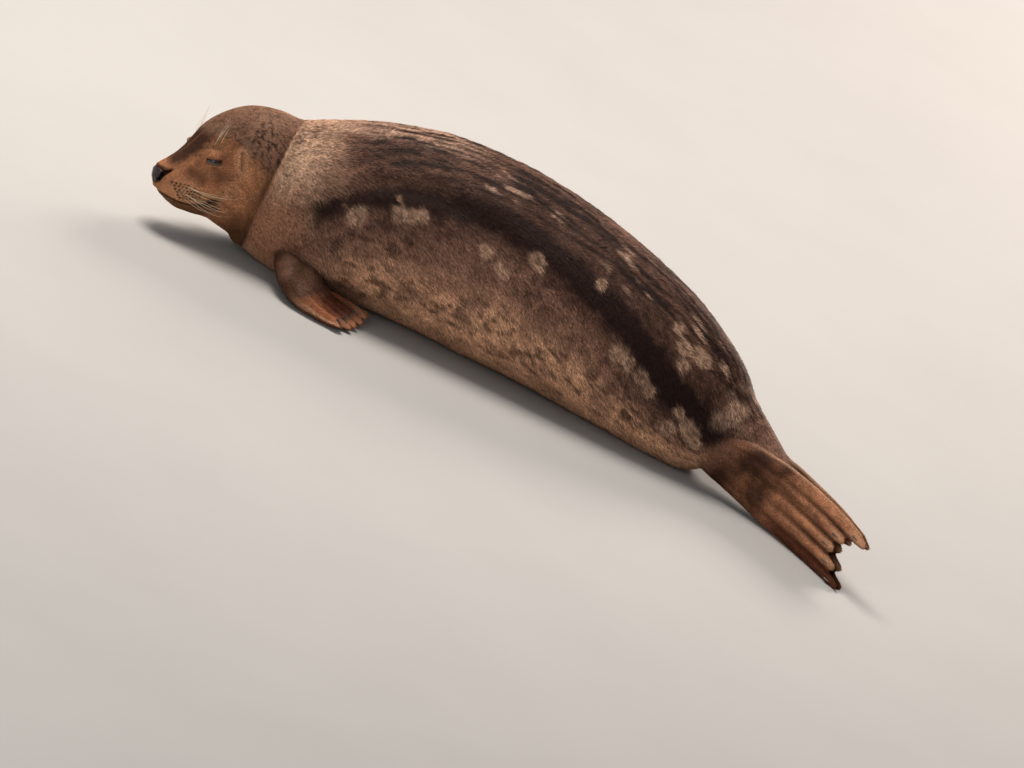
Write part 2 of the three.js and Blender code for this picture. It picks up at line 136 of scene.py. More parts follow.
floor_finish, tree, shader, place = new_finish("floor_finish", Roughness=0.85)
grain = add_node(tree, "ShaderNodeTexNoise", Scale=3.0, Detail=6.0, Roughness=0.55)
tint = two_tones(tree, 0.0, (0.35, 0.342, 0.334), 1.0, (0.39, 0.382, 0.371))
join_nodes(
    tree,
    (place, "Object", grain, "Vector"),
    (grain, "Fac", tint, "Fac"),
    (tint, "Color", shader, "Base Color"),
)

floor_mesh = bpy.data.meshes.new("floor")
corners = [(-FLOOR_REACH, -FLOOR_REACH, 0), (FLOOR_REACH, -FLOOR_REACH, 0)]
corners += [(FLOOR_REACH, FLOOR_REACH, 0), (-FLOOR_REACH, FLOOR_REACH, 0)]
floor_mesh.from_pydata(corners, [], [(0, 1, 2, 3)])
floor_mesh.materials.append(floor_finish)
floor = bpy.data.objects.new("floor", floor_mesh)
bpy.context.scene.collection.objects.link(floor)

# ==== Skin ====
# One hide over the head, trunk, tail and four flippers. It is a loft through the seal's sections, one to
# three millimetres inside the outline, pushed in and out into folds, lids, lips and furrows, and the
# flippers are fused to it. Sizes are in millimetres, and back, left and up start from the nose tip.

MM = 0.001
NOSE_TIP = np.array([-756.0, -202.0, 93.0])
HEAD_LEAN = (36.0, 28.5, 9.0)
# back, top, bottom, level, half, round
HEAD_SECTIONS = np.array([
    (0, 9, -18, -5, 12, 1.9),
    (5, 19, -34, -10, 23, 1.8),
    (15, 25, -48, -18, 32, 1.7),
    (32, 30, -64, -24, 40, 1.65),
    (52, 36, -77, -25, 45, 1.7),
    (72, 45, -92, -22, 50, 1.8),
    (94, 57, -108, -18, 59, 1.9),
    (116, 71, -130, -18, 68, 1.95),
    (140, 83, -156, -24, 78, 2.0),
], dtype=float)
# x, y, z, over, under, half, yaw, pitch, roll from the ears to the tail tip
TRUNK_SECTIONS = np.array([
    (-608, -111, 146, 135, 139, 91, 25, 16, 5),
    (-581, -97, 145, 142, 136, 100, 16, 8, 3),
    (-552, -81, 134, 150, 126, 107, 9, 0, 0),
    (-510, -73, 136, 163, 138, 124, 11, 0, 0),
    (-440, -54, 139, 184, 147, 149, 16, 0, 0),
    (-355, -27, 143, 205, 150, 170, 15, 0, 0),
    (-260, -4, 147, 216, 154, 183, 9, 0, 0),
    (-150, 8, 149, 220, 156, 188, 3, 0, 0),
    (-40, 8, 147, 215, 154, 185, -3, 0, 0),
    (70, -2, 142, 205, 149, 176, -7, 0, 0),
    (170, -18, 133, 193, 140, 160, -11, 0, 0),
    (260, -38, 121, 182, 127, 138, -14, 0, 0),
    (340, -60, 110, 161, 115, 112, -17, 0, 0),
    (405, -80, 106, 128, 99, 84, -20, 0, 0),
    (450, -97, 114, 82, 64, 56, -22, 0, 0),
    (500, -119, 126, 42, 28, 33, -25, 0, 0),
    (550, -143, 122, 18, 14, 25, -27, 0, 0),
    (584, -161, 113, 7, 6, 11, -27, 0, 0),
], dtype=float)
BACK_ROUND, BELLY_ROUND = 2.05, 2.15
# back, left, up; reach back, left, up; out
HEAD_FORMS = [
    ((34, 32, -26), (24, 20, 22), 5),
    ((108, 54, 22), (20, 18, 18), 3),
    ((120, 32, 56), (20, 18, 16), 2),
    ((72, 42, 10), (18, 16, 18), -3),
    ((124, 66, -52), (34, 26, 34), 4),
]
# y of the chest's middle line, across which the fore flippers mirror each other
CHEST_MIDDLE = -22.0
# x, distance from the chest's middle line, z; reach of each; out
TRUNK_FORMS = [((-436, 150, 92), (62, 50, 52), 14)]
# the eyeball's middle, back, left and up of the nose tip, and its radius
EYE_PLACE, EYE_RADIUS = np.array([107.0, 45.0, 20.0]), 17.0
# the inner and outer corner of the slit between the lids, back, out and up of the eyeball's middle
EYE_CORNERS = np.array([(-17.0, 0.0, 7.0), (8.0, 13.0, 0.0)])
# half the slit's length, half its opening, and how far its middle sags
SLIT_HALF, SLIT_OPEN, SLIT_SAG = 17.6, 2.3, 1.0
# a place near the slit's middle, back, left and up of the nose tip, that the faces crowd round
SLIT_MIDDLE = np.array([100.0, 60.0, 27.0])
# back and up of the points of the line of the lips
LIP_LINE = [(-30, -18), (3, -28), (28, -46), (50, -59), (74, -64), (92, -54)]
# how far the skin lies inside the solids on the head, how much further on the trunk, and its lowest height
HEAD_DEPTH, TRUNK_DEPTH_MORE, SKIN_LOWEST = 0.9, 1.7, 0.7
# a height below anything, for a surface that the floor doesn't cut
NO_FLOOR = -400.0


def section_axes(yaw, pitch, roll):
    """Back, left and up of a section that is turned by yaw, tipped by pitch, then rolled, in degrees."""
    angles = (yaw, pitch, roll)
    yaw, pitch, roll = (np.radians(np.asarray(angle, dtype=float))[..., None] for angle in angles)
    level_part = np.cos(pitch)
    back = np.concatenate([np.cos(yaw) * level_part, np.sin(yaw) * level_part, np.sin(pitch)], -1)
    level = np.concatenate([np.sin(yaw), -np.cos(yaw), 0 * yaw], -1)
    upright = np.cross(level, back)
    left = level * np.cos(roll) + upright * np.sin(roll)
    return back, left, upright * np.cos(roll) - level * np.sin(roll)


HEAD_AXES = np.stack(section_axes(*HEAD_LEAN))


def head_point(places):
    """Points of the seal's frame for places given as back, left and up of the nose tip."""
    return NOSE_TIP + np.asarray(places, dtype=float) @ HEAD_AXES


def in_head(points):
    """Back, left and up of the nose tip for points of the seal's frame."""
    return (points - NOSE_TIP) @ HEAD_AXES.T


def reach_of(stations):
    """How far along the straight lines between the section centres each section is."""
    steps = np.linalg.norm(np.diff(stations[:, :3], axis=0), axis=1)
    return np.concatenate([[0.0], np.cumsum(steps)])


def follow(stations, distance):
    """Every number of the stations as a cubic of the distance, its slope at a station being that of
    the parabola through its neighbours, and at the two ends that of the end span."""
    along = reach_of(stations)
    gaps = np.diff(along)
    rise = np.diff(stations, axis=0) / gaps[:, None]
    inner = (rise[:-1] * gaps[1:, None] + rise[1:] * gaps[:-1, None]) / (gaps[:-1] + gaps[1:])[:, None]
    slope = np.vstack([rise[:1], inner, rise[-1:]])
    span = np.minimum(np.searchsorted(along[1:], distance), len(gaps) - 1)
    part = ((distance - along[span]) / gaps[span])[..., None]
    here, there = stations[span], stations[span + 1]
    leave, arrive = slope[span] * gaps[span][..., None], slope[span + 1] * gaps[span][..., None]
    bend = 3 * (there - here) - 2 * leave - arrive
    twist = 2 * (here - there) + leave + arrive
    return here + part * (leave + part * (bend + part * twist))


def body_stations():
    """Head and trunk sections as x, y, z, over, under, half, yaw, pitch, roll, round."""
    back, top, bottom, level, half, squareness = HEAD_SECTIONS.T
    centres = head_point(np.stack([back, 0 * back, level], -1))
    lean = np.tile(HEAD_LEAN, (len(back), 1))
    head = np.column_stack([centres, top - level, level - bottom, half, lean, squareness])
    trunk = np.column_stack([TRUNK_SECTIONS, np.full(len(TRUNK_SECTIONS), BACK_ROUND)])
    return np.vstack([head, trunk])


BODY = body_stations()
BODY_REACH = reach_of(BODY)
NECK_FOLD_AT = BODY_REACH[len(HEAD_SECTIONS) + 2]


def bells(forms, first, second, third):
    """The sum of bell-shaped swellings at places given by three distances, the middle one on each side."""
    out = np.zeros_like(first)
    for place, reach, height in forms:
        far = ((first - place[0]) / reach[0]) ** 2 + ((np.abs(second) - place[1]) / reach[1]) ** 2
        out += height * np.exp(-far - ((third - place[2]) / reach[2]) ** 2)
    return out


def swelling(points):
    """How far the head's and the upper arms' swellings push out the surface, in millimetres."""
    back, left, up = np.moveaxis(in_head(points), -1, 0)
    x, y, z = np.moveaxis(points, -1, 0)
    return bells(HEAD_FORMS, back, left, up) + bells(TRUNK_FORMS, x, y - CHEST_MIDDLE, z)


def body_surface(distance, turn, inset=0.0, lowest=0.0):
    """Points of the body's surface. Each section is an oval whose squareness is set by a power: left
    times the sine of the turn, up times its cosine, each raised to two over the squareness. It is made
    smaller all round by the inset, the head's swellings push it out, and the floor cuts it flat."""
    s = follow(BODY, distance)
    _, left, up = section_axes(s[..., 6], s[..., 7], s[..., 8])
    sine, cosine = np.sin(turn), np.cos(turn)
    power = 2 / np.where(cosine > 0, s[..., 9], BELLY_ROUND)
    height = np.where(cosine > 0, s[..., 3], s[..., 4]) - inset
    sideways = np.sign(sine) * np.abs(sine) ** power * (s[..., 5] - inset)
    upwards = np.sign(cosine) * np.abs(cosine) ** power * height
    outward = left * sideways[..., None] + up * upwards[..., None]
    centre = s[..., :3]
    size = np.linalg.norm(outward, axis=-1)
    points = centre + outward * (1 + swelling(centre + outward) / np.maximum(size, 1))[..., None]
    points[..., 2] = np.maximum(points[..., 2], lowest)
    return points


def unit(vectors):
    """The vectors at length one."""
    return vectors / np.maximum(np.linalg.norm(vectors, axis=-1, keepdims=True), 1e-9)


def grid_slopes(points):
    """Unit steps along the rows and round the columns of a grid that closes on itself in the second."""
    down = np.gradient(points, axis=0)
    wrapped = np.concatenate([points[:, -1:], points, points[:, :1]], axis=1)
    around = (wrapped[:, 2:] - wrapped[:, :-2]) / 2
    return unit(down), unit(around)


def bell(value, width):
    """One at zero, falling off as a bell curve of that width."""
    return np.exp(-((value / width) ** 2))


def ease(value, start, end):
    """Rises smoothly from 0 at start to 1 at end."""
    t = np.clip((value - start) / (end - start), 0, 1)
    return t * t * (3 - 2 * t)


def read_line(line, at):
    """The second number of a line's points where the first is at, straight between them."""
    line = np.asarray(line, dtype=float)
    return np.interp(at, line[:, 0], line[:, 1])


# large odd numbers that scramble a lattice corner's place and a seed into a random whole number
CORNER_MIX = (73856093, 19349663, 83492791, 2654435)
FIRST_MIX, SECOND_MIX, WORD = 1274126177, 2246822519, 0xFFFFFFFF


def ripple(points, size, seed, stretch=(1, 1, 1)):
    """Smooth random waves between -1 and 1: values at the corners of a lattice of that size, blended
    by a cubic ease in each direction. Each corner's value is a hash of its whole-number place."""
    cell = points / (size * np.asarray(stretch, dtype=float))
    corner = np.floor(cell).astype(np.int64)
    part = cell - corner
    part = part * part * (3 - 2 * part)
    total = np.zeros(points.shape[:-1])
    for step in np.ndindex(2, 2, 2):
        x, y, z = np.moveaxis(corner + np.array(step), -1, 0)
        mixed = x * CORNER_MIX[0] ^ y * CORNER_MIX[1] ^ z * CORNER_MIX[2] ^ seed * CORNER_MIX[3]
        mixed = (mixed ^ (mixed >> 13)) * FIRST_MIX & WORD
        mixed = (mixed ^ (mixed >> 16)) * SECOND_MIX & WORD
        weight = np.prod(np.where(np.array(step) == 1, part, 1 - part), axis=-1)
        total += weight * ((mixed >> 8) / float(1 << 23) - 1)
    return total


# the rings' spacing on the head and on the trunk, and the number of columns
HEAD_ROW, TRUNK_ROW = 1.9, 6.4
BODY_COLUMNS = 208
# how strongly the faces are drawn together round an eye, and how far round it
EYE_CROWD, EYE_CROWD_REACH = 0.68, 26.0
# millimetres of the head's skin at the eye for a radian of turn
EYE_GIRTH = 60.0
# start, end and number of the distances and turns at which the eye is looked for
EYE_SEARCH, EYE_SEARCH_TURN = (60, 160, 101), (0.3, 2.2, 96)
# how far behind the neck's fold the rings stay close together
FOLD_BEHIND = 34.0


def body_rows():
    """Distances of the rings: close together on the head and neck fold, further apart behind."""
    close_until = NECK_FOLD_AT + FOLD_BEHIND
    head = np.arange(0, close_until, HEAD_ROW)
    count = int((BODY_REACH[-1] - close_until) / TRUNK_ROW)
    return np.concatenate([head, np.linspace(close_until, BODY_REACH[-1], count)])


def body_turns():
    """Turns of the columns, evenly spread but half as close under the belly."""
    fine = np.linspace(0, 2 * np.pi, 4001)
    density = 1 - 0.5 * bell(fine - np.pi, 0.75)
    share = np.concatenate([[0], np.cumsum((density[1:] + density[:-1]) / 2)])
    return np.interp(np.arange(BODY_COLUMNS) / BODY_COLUMNS * share[-1], share, fine)


def crowd_to_eye(distance, turn, side):
    """Draws the grid's rings and columns together round one eye, so that its lids have fine faces."""
    target = head_point(SLIT_MIDDLE * (1, side, 1))
    rows = np.linspace(*EYE_SEARCH)
    turns = np.linspace(*EYE_SEARCH_TURN) * side
    spread = body_surface(*np.meshgrid(rows, turns, indexing="ij"))
    nearest = np.unravel_index(np.argmin(np.linalg.norm(spread - target, axis=-1)), spread.shape[:2])
    middle, angle = rows[nearest[0]], turns[nearest[1]]
    away = (turn - angle + np.pi) % (2 * np.pi) - np.pi
    pull = EYE_CROWD * bell(np.hypot(distance - middle, away * EYE_GIRTH), EYE_CROWD_REACH)
    return distance - (distance - middle) * pull, turn - away * pull


def lip_height(back):
    """Height of the line of the lips at that distance behind the nose tip."""
    return read_line(LIP_LINE, back)


def line_gap(places, line):
    """Distance of places from a broken line, and how far along the line the nearest point is, 0 to 1."""
    line = np.asarray(line, dtype=float)
    best = np.full(places.shape[:-1], 1e9)
    share = np.zeros(places.shape[:-1])
    spans = np.linalg.norm(np.diff(line, axis=0), axis=1)
    start = np.concatenate([[0], np.cumsum(spans)])
    for index, span in enumerate(spans):
        ahead = (line[index + 1] - line[index]) / span
        t = np.clip((places - line[index]) @ ahead, 0, span)
        gap = np.linalg.norm(places - line[index] - t[..., None] * ahead, axis=-1)
        share = np.where(gap < best, (start[index] + t) / start[-1], share)
        best = np.minimum(gap, best)
    return best, share


# back and up of the points of lines on the side of the head, and for the folds their depth and width
EAR_SLIT = [(154, 34), (151, 24), (149, 14), (146, 3)]
CHEEK_FOLDS = [
    ([(94, -52), (106, -64), (122, -80)], 2.2, 3.2),
    ([(104, -34), (116, -46), (134, -58)], 1.3, 3.5),
    ([(84, 8), (98, -2), (118, 2)], 1.0, 3.0),
    ([(84, 38), (98, 44), (116, 42), (130, 30)], 1.3, 3.2),
    ([(124, 8), (134, -6), (132, -22)], 0.9, 2.6),
]
# back and up of the mouth's corner and of the whisker pad's middle, and how far the chin stands out
MOUTH_CORNER, WHISKER_PAD, CHIN_OUT = (89, -56), (44, -34), 7.0
# the nose pad's oval: how high its middle is, and its half width and half height
PAD_MIDDLE, PAD_HALF, PAD_TALL = 5.0, 21.8, 16.0
# left and up of the points of a nostril, from its foot in front to its outer end
NOSTRIL = [(14, -3), (17.5, 0), (19.2, 5), (20.5, 11)]
# the middle of the hollow of the throat, in front of the neck's crease, its depth and its width
THROAT, THROAT_DEPTH, THROAT_WIDTH = np.array([-558.0, -140.0, 36.0]), 8.0, 24


def on_pad(left, up):
    """Below 1 inside the oval of the nose pad, 1 on its rim."""
    return np.hypot(left / PAD_HALF, (up - PAD_MIDDLE) / PAD_TALL)


def head_relief(points):
    """How far the skin of the head is pushed out, as a sum of bells of the distance from each line or
    place: lips, chin, whisker pads, ear slits, folds of the cheek and brow, the hollow of the throat, the
    groove under the nose, the bed of the nose pad and the nostrils."""
    back, left, up = np.moveaxis(in_head(points), -1, 0)
    side = np.abs(left)
    out = np.zeros_like(back)
    near = (back < 175) & (back > -30)
    mouth = ease(back, 97, 88) * near
    over_lip = up - lip_height(back)
    out -= 4.0 * bell(over_lip + 0.6, 1.7) * mouth
    out += 1.6 * bell(over_lip - 5.5, 4.5) * mouth
    out -= 1.6 * ease(over_lip, 1, -3) * ease(over_lip, -26, -8) * mouth
    corner = np.hypot(back - MOUTH_CORNER[0], up - MOUTH_CORNER[1])
    out -= 2.6 * bell(corner, 5.0) * near
    for line, depth, width in CHEEK_FOLDS:
        gap, share = line_gap(np.stack([back, up], -1), line)
        fade = np.sin(np.pi * np.clip(share, 0.04, 0.96)) ** 0.5
        out += near * fade * depth * (0.5 * bell(gap - width * 1.6, width) - bell(gap, width * 0.6))
    gap, share = line_gap(np.stack([back, up], -1), EAR_SLIT)
    out += near * ease(side, 30, 50) * (1.6 * bell(gap - 3.8, 2.4) - 4.5 * bell(gap, 1.5))
    out += CHIN_OUT * bell(back - 46, 30) * ease(over_lip, 2, -14) * ease(back, 104, 84) * near
    pad = np.hypot((back - WHISKER_PAD[0]) / 1.3, up - WHISKER_PAD[1])
    out += 2.5 * bell(pad, 16) * ease(side, 10, 20) * near
    out -= THROAT_DEPTH * bell(np.linalg.norm(points - THROAT, axis=-1), THROAT_WIDTH)
    philtrum = bell(left, 1.6) * ease(up, -30, -24) * ease(up, -6, -12) * ease(back, 20, 8)
    out -= 1.5 * philtrum * near
    front = ease(back, 36, 28) * (back > -30)
    out -= 1.6 * front * ease(on_pad(left, up), 1.0, 0.88)
    gap, _ = line_gap(np.stack([side, up], -1), NOSTRIL)
    return out - 11.0 * front * ease(gap, 4.6, 2.0)


def eye_axes():
    """The left eye's way out through the slit's middle, along the slit to its outer corner, and over it."""
    inner, outer = unit(EYE_CORNERS)
    ahead, along = unit(inner + outer), unit(outer - inner)
    over = np.cross(ahead, along)
    return ahead, along, over * np.sign(over[2])


def round_eye(points, side):
    """Where points are round an eyeball: the way out from its middle and how far, then along the slit
    from its inner to its outer corner and over it, both as arcs on the ball."""
    ahead, along, over = eye_axes()
    away = points - head_point(EYE_PLACE * (1, side, 1))
    ray = np.linalg.norm(away, axis=-1)
    way = away / np.maximum(ray, 1e-6)[..., None]
    mine = (way @ HEAD_AXES.T) * (1, side, 1)
    x = EYE_RADIUS * np.arctan2(mine @ along, mine @ ahead)
    y = EYE_RADIUS * np.arcsin(np.clip(mine @ over, -1, 1))
    return way, ray, x, y + SLIT_SAG * (1 - (x / SLIT_HALF) ** 2)


def in_slit(x, y):
    """1 in the slit between the lids, 0 outside it."""
    opening = SLIT_OPEN * np.clip(1 - (x / SLIT_HALF) ** 2, 0, 1) ** 0.8
    return ease(np.abs(y) - opening, 0.4, -0.4) * (np.abs(x) < SLIT_HALF)


def lift_lids(points):
    """The skin over each eyeball is pushed out to lie on it, as a thick upper lid, a thin lower one and
    a crease round each, and drops inside the ball along the slit between them."""
    for side in (1, -1):
        way, ray, x, y = round_eye(points, side)
        there = bell(x, 19)
        rims = 1.5 * bell(y - SLIT_OPEN - 2.4, 3.2) + 0.9 * bell(y + SLIT_OPEN + 1.8, 2.2)
        lid = EYE_RADIUS + 1.0 + there * rims
        lid -= there * (0.9 * bell(y - 11.5, 1.8) + 0.8 * bell(y + 8.5, 1.6))
        soft = np.maximum(ray, lid) + 0.8 * np.exp(-np.abs(ray - lid) / 2.2)
        slit = in_slit(x, y)
        target = soft * (1 - slit) + (EYE_RADIUS - 2.4) * slit
        moved = ray + (target - ray) * ease(ray, 42, 26)
        points = points + way * (moved - ray)[..., None]
    return points


CREASE_X = -550.0


def crease_gap(points):
    """How far behind the crease of the neck points are, along x, with a slow wave in the crease."""
    return points[..., 0] - CREASE_X + 2.0 * ripple(points, 60, 5)


def neck_fold(points, turn):
    """The crease where the drawn-back head meets the neck: the head's side sinks towards it and the
    neck's side stands over it in a soft roll. It is deep on the left side, and fades out under the throat
    and on the right."""
    near = ease(turn, -0.05, 0.6) * ease(turn, 2.5, 1.95)
    depth = (0.10 + 0.90 * near) * (1 - 0.75 * ease(turn, 1.45, 1.9))
    gap = crease_gap(points)
    front = -8.0 * np.exp(np.minimum(gap, 0) / 16) * ease(gap, 2.5, -1.0)
    behind = 3.0 * bell(gap - 9, 12) * ease(gap, 0, 4)
    small = -1.2 * bell(gap - 34, 5) - 0.9 * bell(gap - 58, 6) + 0.8 * bell(gap - 46, 6)
    return depth * (front + behind + small * bell(turn - 0.9, 1.1))


# distance and turn of the points of the furrow along the upper flank
FLANK_FURROW = [(330, 1.15), (420, 0.86), (520, 0.84), (640, 0.92), (760, 1.06), (880, 1.16), (960, 1.3)]
# millimetres of skin for a radian of turn at the furrow, and the turn given to the half without it
FLANK_GIRTH, OTHER_HALF = 150, 9


def trunk_relief(points, distance, turn):
    """Furrows and folds of the trunk: the long furrow over the flank, shallow lengthwise wrinkles on the
    back, and soft hollows and swellings of the flesh under it."""
    out = 1.6 * ripple(points, 90, 11) * ease(distance, 240, 400) * ease(distance, 1250, 1100)
    line = read_line(FLANK_FURROW, distance)
    there = ease(distance, 300, 420) * ease(distance, 1010, 880)
    for side in (1, -1):
        gap = (np.where(side * turn > 0, side * turn, OTHER_HALF) - line) * FLANK_GIRTH
        out -= there * (4.0 * bell(gap, 16) - 1.6 * bell(gap + 30, 18))
    wrinkles = ripple(np.stack([distance / 9, turn * 16, 0 * turn], -1), 1.0, 21)
    out += 0.9 * wrinkles * bell(turn, 0.7) * ease(distance, 330, 480) * ease(distance, 1150, 1000)
    return out


def body_grid():
    """The body's skin as a grid of rings: its distance and turn, and its points."""
    distance, turn = np.meshgrid(body_rows(), body_turns(), indexing="ij")
    for side in (1, -1):
        distance, turn = crowd_to_eye(distance, turn, side)
    turn = (turn + np.pi) % (2 * np.pi) - np.pi
    inset = HEAD_DEPTH + TRUNK_DEPTH_MORE * ease(distance, 120, 260)
    plain = body_surface(distance, turn, inset, lowest=NO_FLOOR)
    down, around = grid_slopes(plain)
    normal = np.cross(around, down)
    normal /= np.linalg.norm(normal, axis=-1, keepdims=True)
    relief = head_relief(plain) + neck_fold(plain, turn) + trunk_relief(plain, distance, turn)
    points = lift_lids(plain + normal * relief[..., None])
    points[..., 2] = np.maximum(points[..., 2], SKIN_LOWEST)
    return distance, turn, points


def ring_faces(rows, columns):
    """Quads of a grid of rings that close on themselves, facing out for rings that turn as the body's."""
    index = np.arange(rows * columns).reshape(rows, columns)
    beside = np.roll(index, -1, axis=1)
    return np.stack([index[:-1], beside[:-1], beside[1:], index[1:]], -1).reshape(-1, 4)


def shut_ring(ring, forward):
    """Quads and two triangles across a ring of even count, for the start or the end of a loft."""
    count = len(ring)
    half = count // 2
    step = np.arange(1, half - 1)
    quads = np.stack([ring[step], ring[-step], ring[-step - 1], ring[step + 1]], -1)
    ends = np.array([[ring[0], ring[-1], ring[1]], [ring[half - 1], ring[half + 1], ring[half]]])
    return (quads, ends) if forward else (quads[:, ::-1], ends[:, ::-1])


def loft_faces(rows, columns, turned=False):
    """Quads and triangles of a loft of rings with both ends shut, facing the other way if turned."""
    index = np.arange(rows * columns).reshape(rows, columns)
    starts, ends = shut_ring(index[0], True), shut_ring(index[-1], False)
    quads = np.concatenate([ring_faces(rows, columns), starts[0], ends[0]])
    triangles = np.concatenate([starts[1], ends[1]])
    return (quads[:, ::-1], triangles[:, ::-1]) if turned else (quads, triangles)


def repeat_faces(faces, copies, points_each):
    """The faces of one copy for every copy, where the copies' points follow one another."""
    step = (np.arange(copies) * points_each)[:, None, None]
    return (faces + step).reshape(-1, faces.shape[1])


def write_mesh(name, points, quads, triangles=(), **facts):
    """A mesh of points in millimetres, its quads and triangles, with facts kept at its points."""
    mesh = bpy.data.meshes.new(name)
    quads, triangles = np.asarray(quads).reshape(-1, 4), np.asarray(triangles, dtype=int).reshape(-1, 3)
    mesh.vertices.add(len(points))
    mesh.vertices.foreach_set("co", (np.asarray(points) * MM).astype(np.float32).ravel())
    corners = np.concatenate([quads.ravel(), triangles.ravel()]).astype(np.int32)
    mesh.loops.add(len(corners))
    mesh.loops.foreach_set("vertex_index", corners)
    mesh.polygons.add(len(quads) + len(triangles))
    sizes = np.concatenate([np.full(len(quads), 4), np.full(len(triangles), 3)])
    mesh.polygons.foreach_set("loop_start", (np.cumsum(sizes) - sizes).astype(np.int32))
    for fact, values in facts.items():
        keep_fact(mesh, fact, values)
    mesh.update(calc_edges=True)
    mesh.shade_smooth()
    return mesh


def keep_fact(mesh, name, values):
    """Keeps a number, a vector or a colour for every point of the mesh."""
    values = np.asarray(values, dtype=np.float32).reshape(len(mesh.vertices), -1)
    kinds = {1: ("FLOAT", "value"), 3: ("FLOAT_VECTOR", "vector"), 4: ("FLOAT_COLOR", "color")}
    kind, key = kinds[values.shape[1]]
    mesh.attributes.new(name, kind, "POINT").data.foreach_set(key, values.ravel())


def read_fact(mesh, name, width=1):
    """The values that keep_fact kept, one row for every point of the mesh."""
    values = np.empty(len(mesh.vertices) * width, dtype=np.float32)
    mesh.attributes[name].data.foreach_get("value" if width == 1 else "vector", values)
    return values.reshape(-1, width).astype(float) if width > 1 else values.astype(float)


def read_points(mesh):
    """The mesh's points, in millimetres."""
    values = np.empty(len(mesh.vertices) * 3, dtype=np.float32)
    mesh.vertices.foreach_get("co", values)
    return values.reshape(-1, 3).astype(float) / MM


def add_object(mesh):
    """An object at the origin that shows the mesh."""
    piece = bpy.data.objects.new(mesh.name, mesh)
    bpy.context.scene.collection.objects.link(piece)
    return piece


NOSE_CAP_RINGS, NOSE_CAP_BULGE = 7, 2.5


def body_mesh():
    """The body's grid with both ends closed: smaller and smaller rings bulge over the tip of the nose,
    and strips shut the tail's tip. Its facts are the distance, the turn and the way the hair lies."""
    distance, turn, points = body_grid()
    front = points[0].mean(axis=0)
    ahead = -HEAD_AXES[0]
    lean = np.linspace(1.35, 0.2, NOSE_CAP_RINGS)[:, None, None]
    caps = front + (points[0] - front) * np.cos(lean) + ahead * NOSE_CAP_BULGE * np.sin(lean)
    points = np.concatenate([caps, points])
    distance = np.concatenate([np.tile(distance[:1], (NOSE_CAP_RINGS, 1)), distance])
    turn = np.concatenate([np.tile(turn[:1], (NOSE_CAP_RINGS, 1)), turn])
    down, around = grid_slopes(points)
    sag = 0.75 * np.sin(turn) * ease(distance, 180, 420) * ease(np.cos(turn), 0.97, 0.55)
    flow = down + around * sag[..., None]
    facts = dict(made=np.ones(turn.size), limb=np.zeros(turn.size), along=distance, round=turn, flow=flow)
    return write_mesh("skin", points.reshape(-1, 3), *loft_faces(*turn.shape), **facts)


# x, y, z, across, tilt, wide, thick, cup from the shoulder or hip to the tips of the digits
FORE_BLADE = np.array([
    (-454, -116, 92, 18, 14, 46, 30, 0),
    (-440, -174, 60, 32, 10, 48, 27, 0),
    (-408, -217, 33, 58, 6, 54, 24, 0),
    (-366, -221, 18, 82, 4, 62, 18, 3),
    (-323, -217, 11, 80, 4, 68, 13, 9),
    (-278, -224, 8, 74, 4, 70, 9, 10),
], dtype=float)
HIND_BLADE = np.array([
    (372, -68, 92, 0, 90, 50, 24, 0),
    (440, -93, 82, 0, 90, 53, 27, 0),
    (500, -121, 76, 0, 90, 57, 23, 0),
    (560, -157, 71, 0, 90, 64, 17, -2),
    (622, -203, 67, 0, 90, 67, 12, -4),
    (690, -263, 63, 0, 90, 68, 9, -5),
    (767, -347, 58, 0, 90, 64, 6, -5),
], dtype=float)
# each digit's share of the flipper's length, from the leading one
FORE_REACH = np.array([0.98, 0.99, 0.98, 0.97, 0.92])
HIND_REACH = np.array([1.0, 0.89, 0.86, 0.91, 0.965])
DIGITS = 5
# how much thinner and shorter a web is than a digit, how near a digit it starts, where the tips start to
# round off, and half the gap between the two hind soles
WEB_THIN, WEB_NOTCH, WEB_START, TIP_START, SOLE_GAP = 0.62, 0.05, 0.2, 0.86, 2.0
FLIPPER_ROWS, FLIPPER_COLUMNS = 66, 50
# how far the skin of a flipper lies inside the outline
FLIPPER_INSET = 0.7
# a point's share of a flipper's length, its share across and its side are kept as along and round
SHARE_SCALE, ACROSS_SCALE, SIDE_SCALE = 1000, 2, 10
KNUCKLES = (0.62, 0.74, 0.86)


def digit_ridge(across):
    """1 along the middle of a digit, 0 along the middle of a web."""
    return 0.5 + 0.5 * np.cos(np.pi * DIGITS * across)


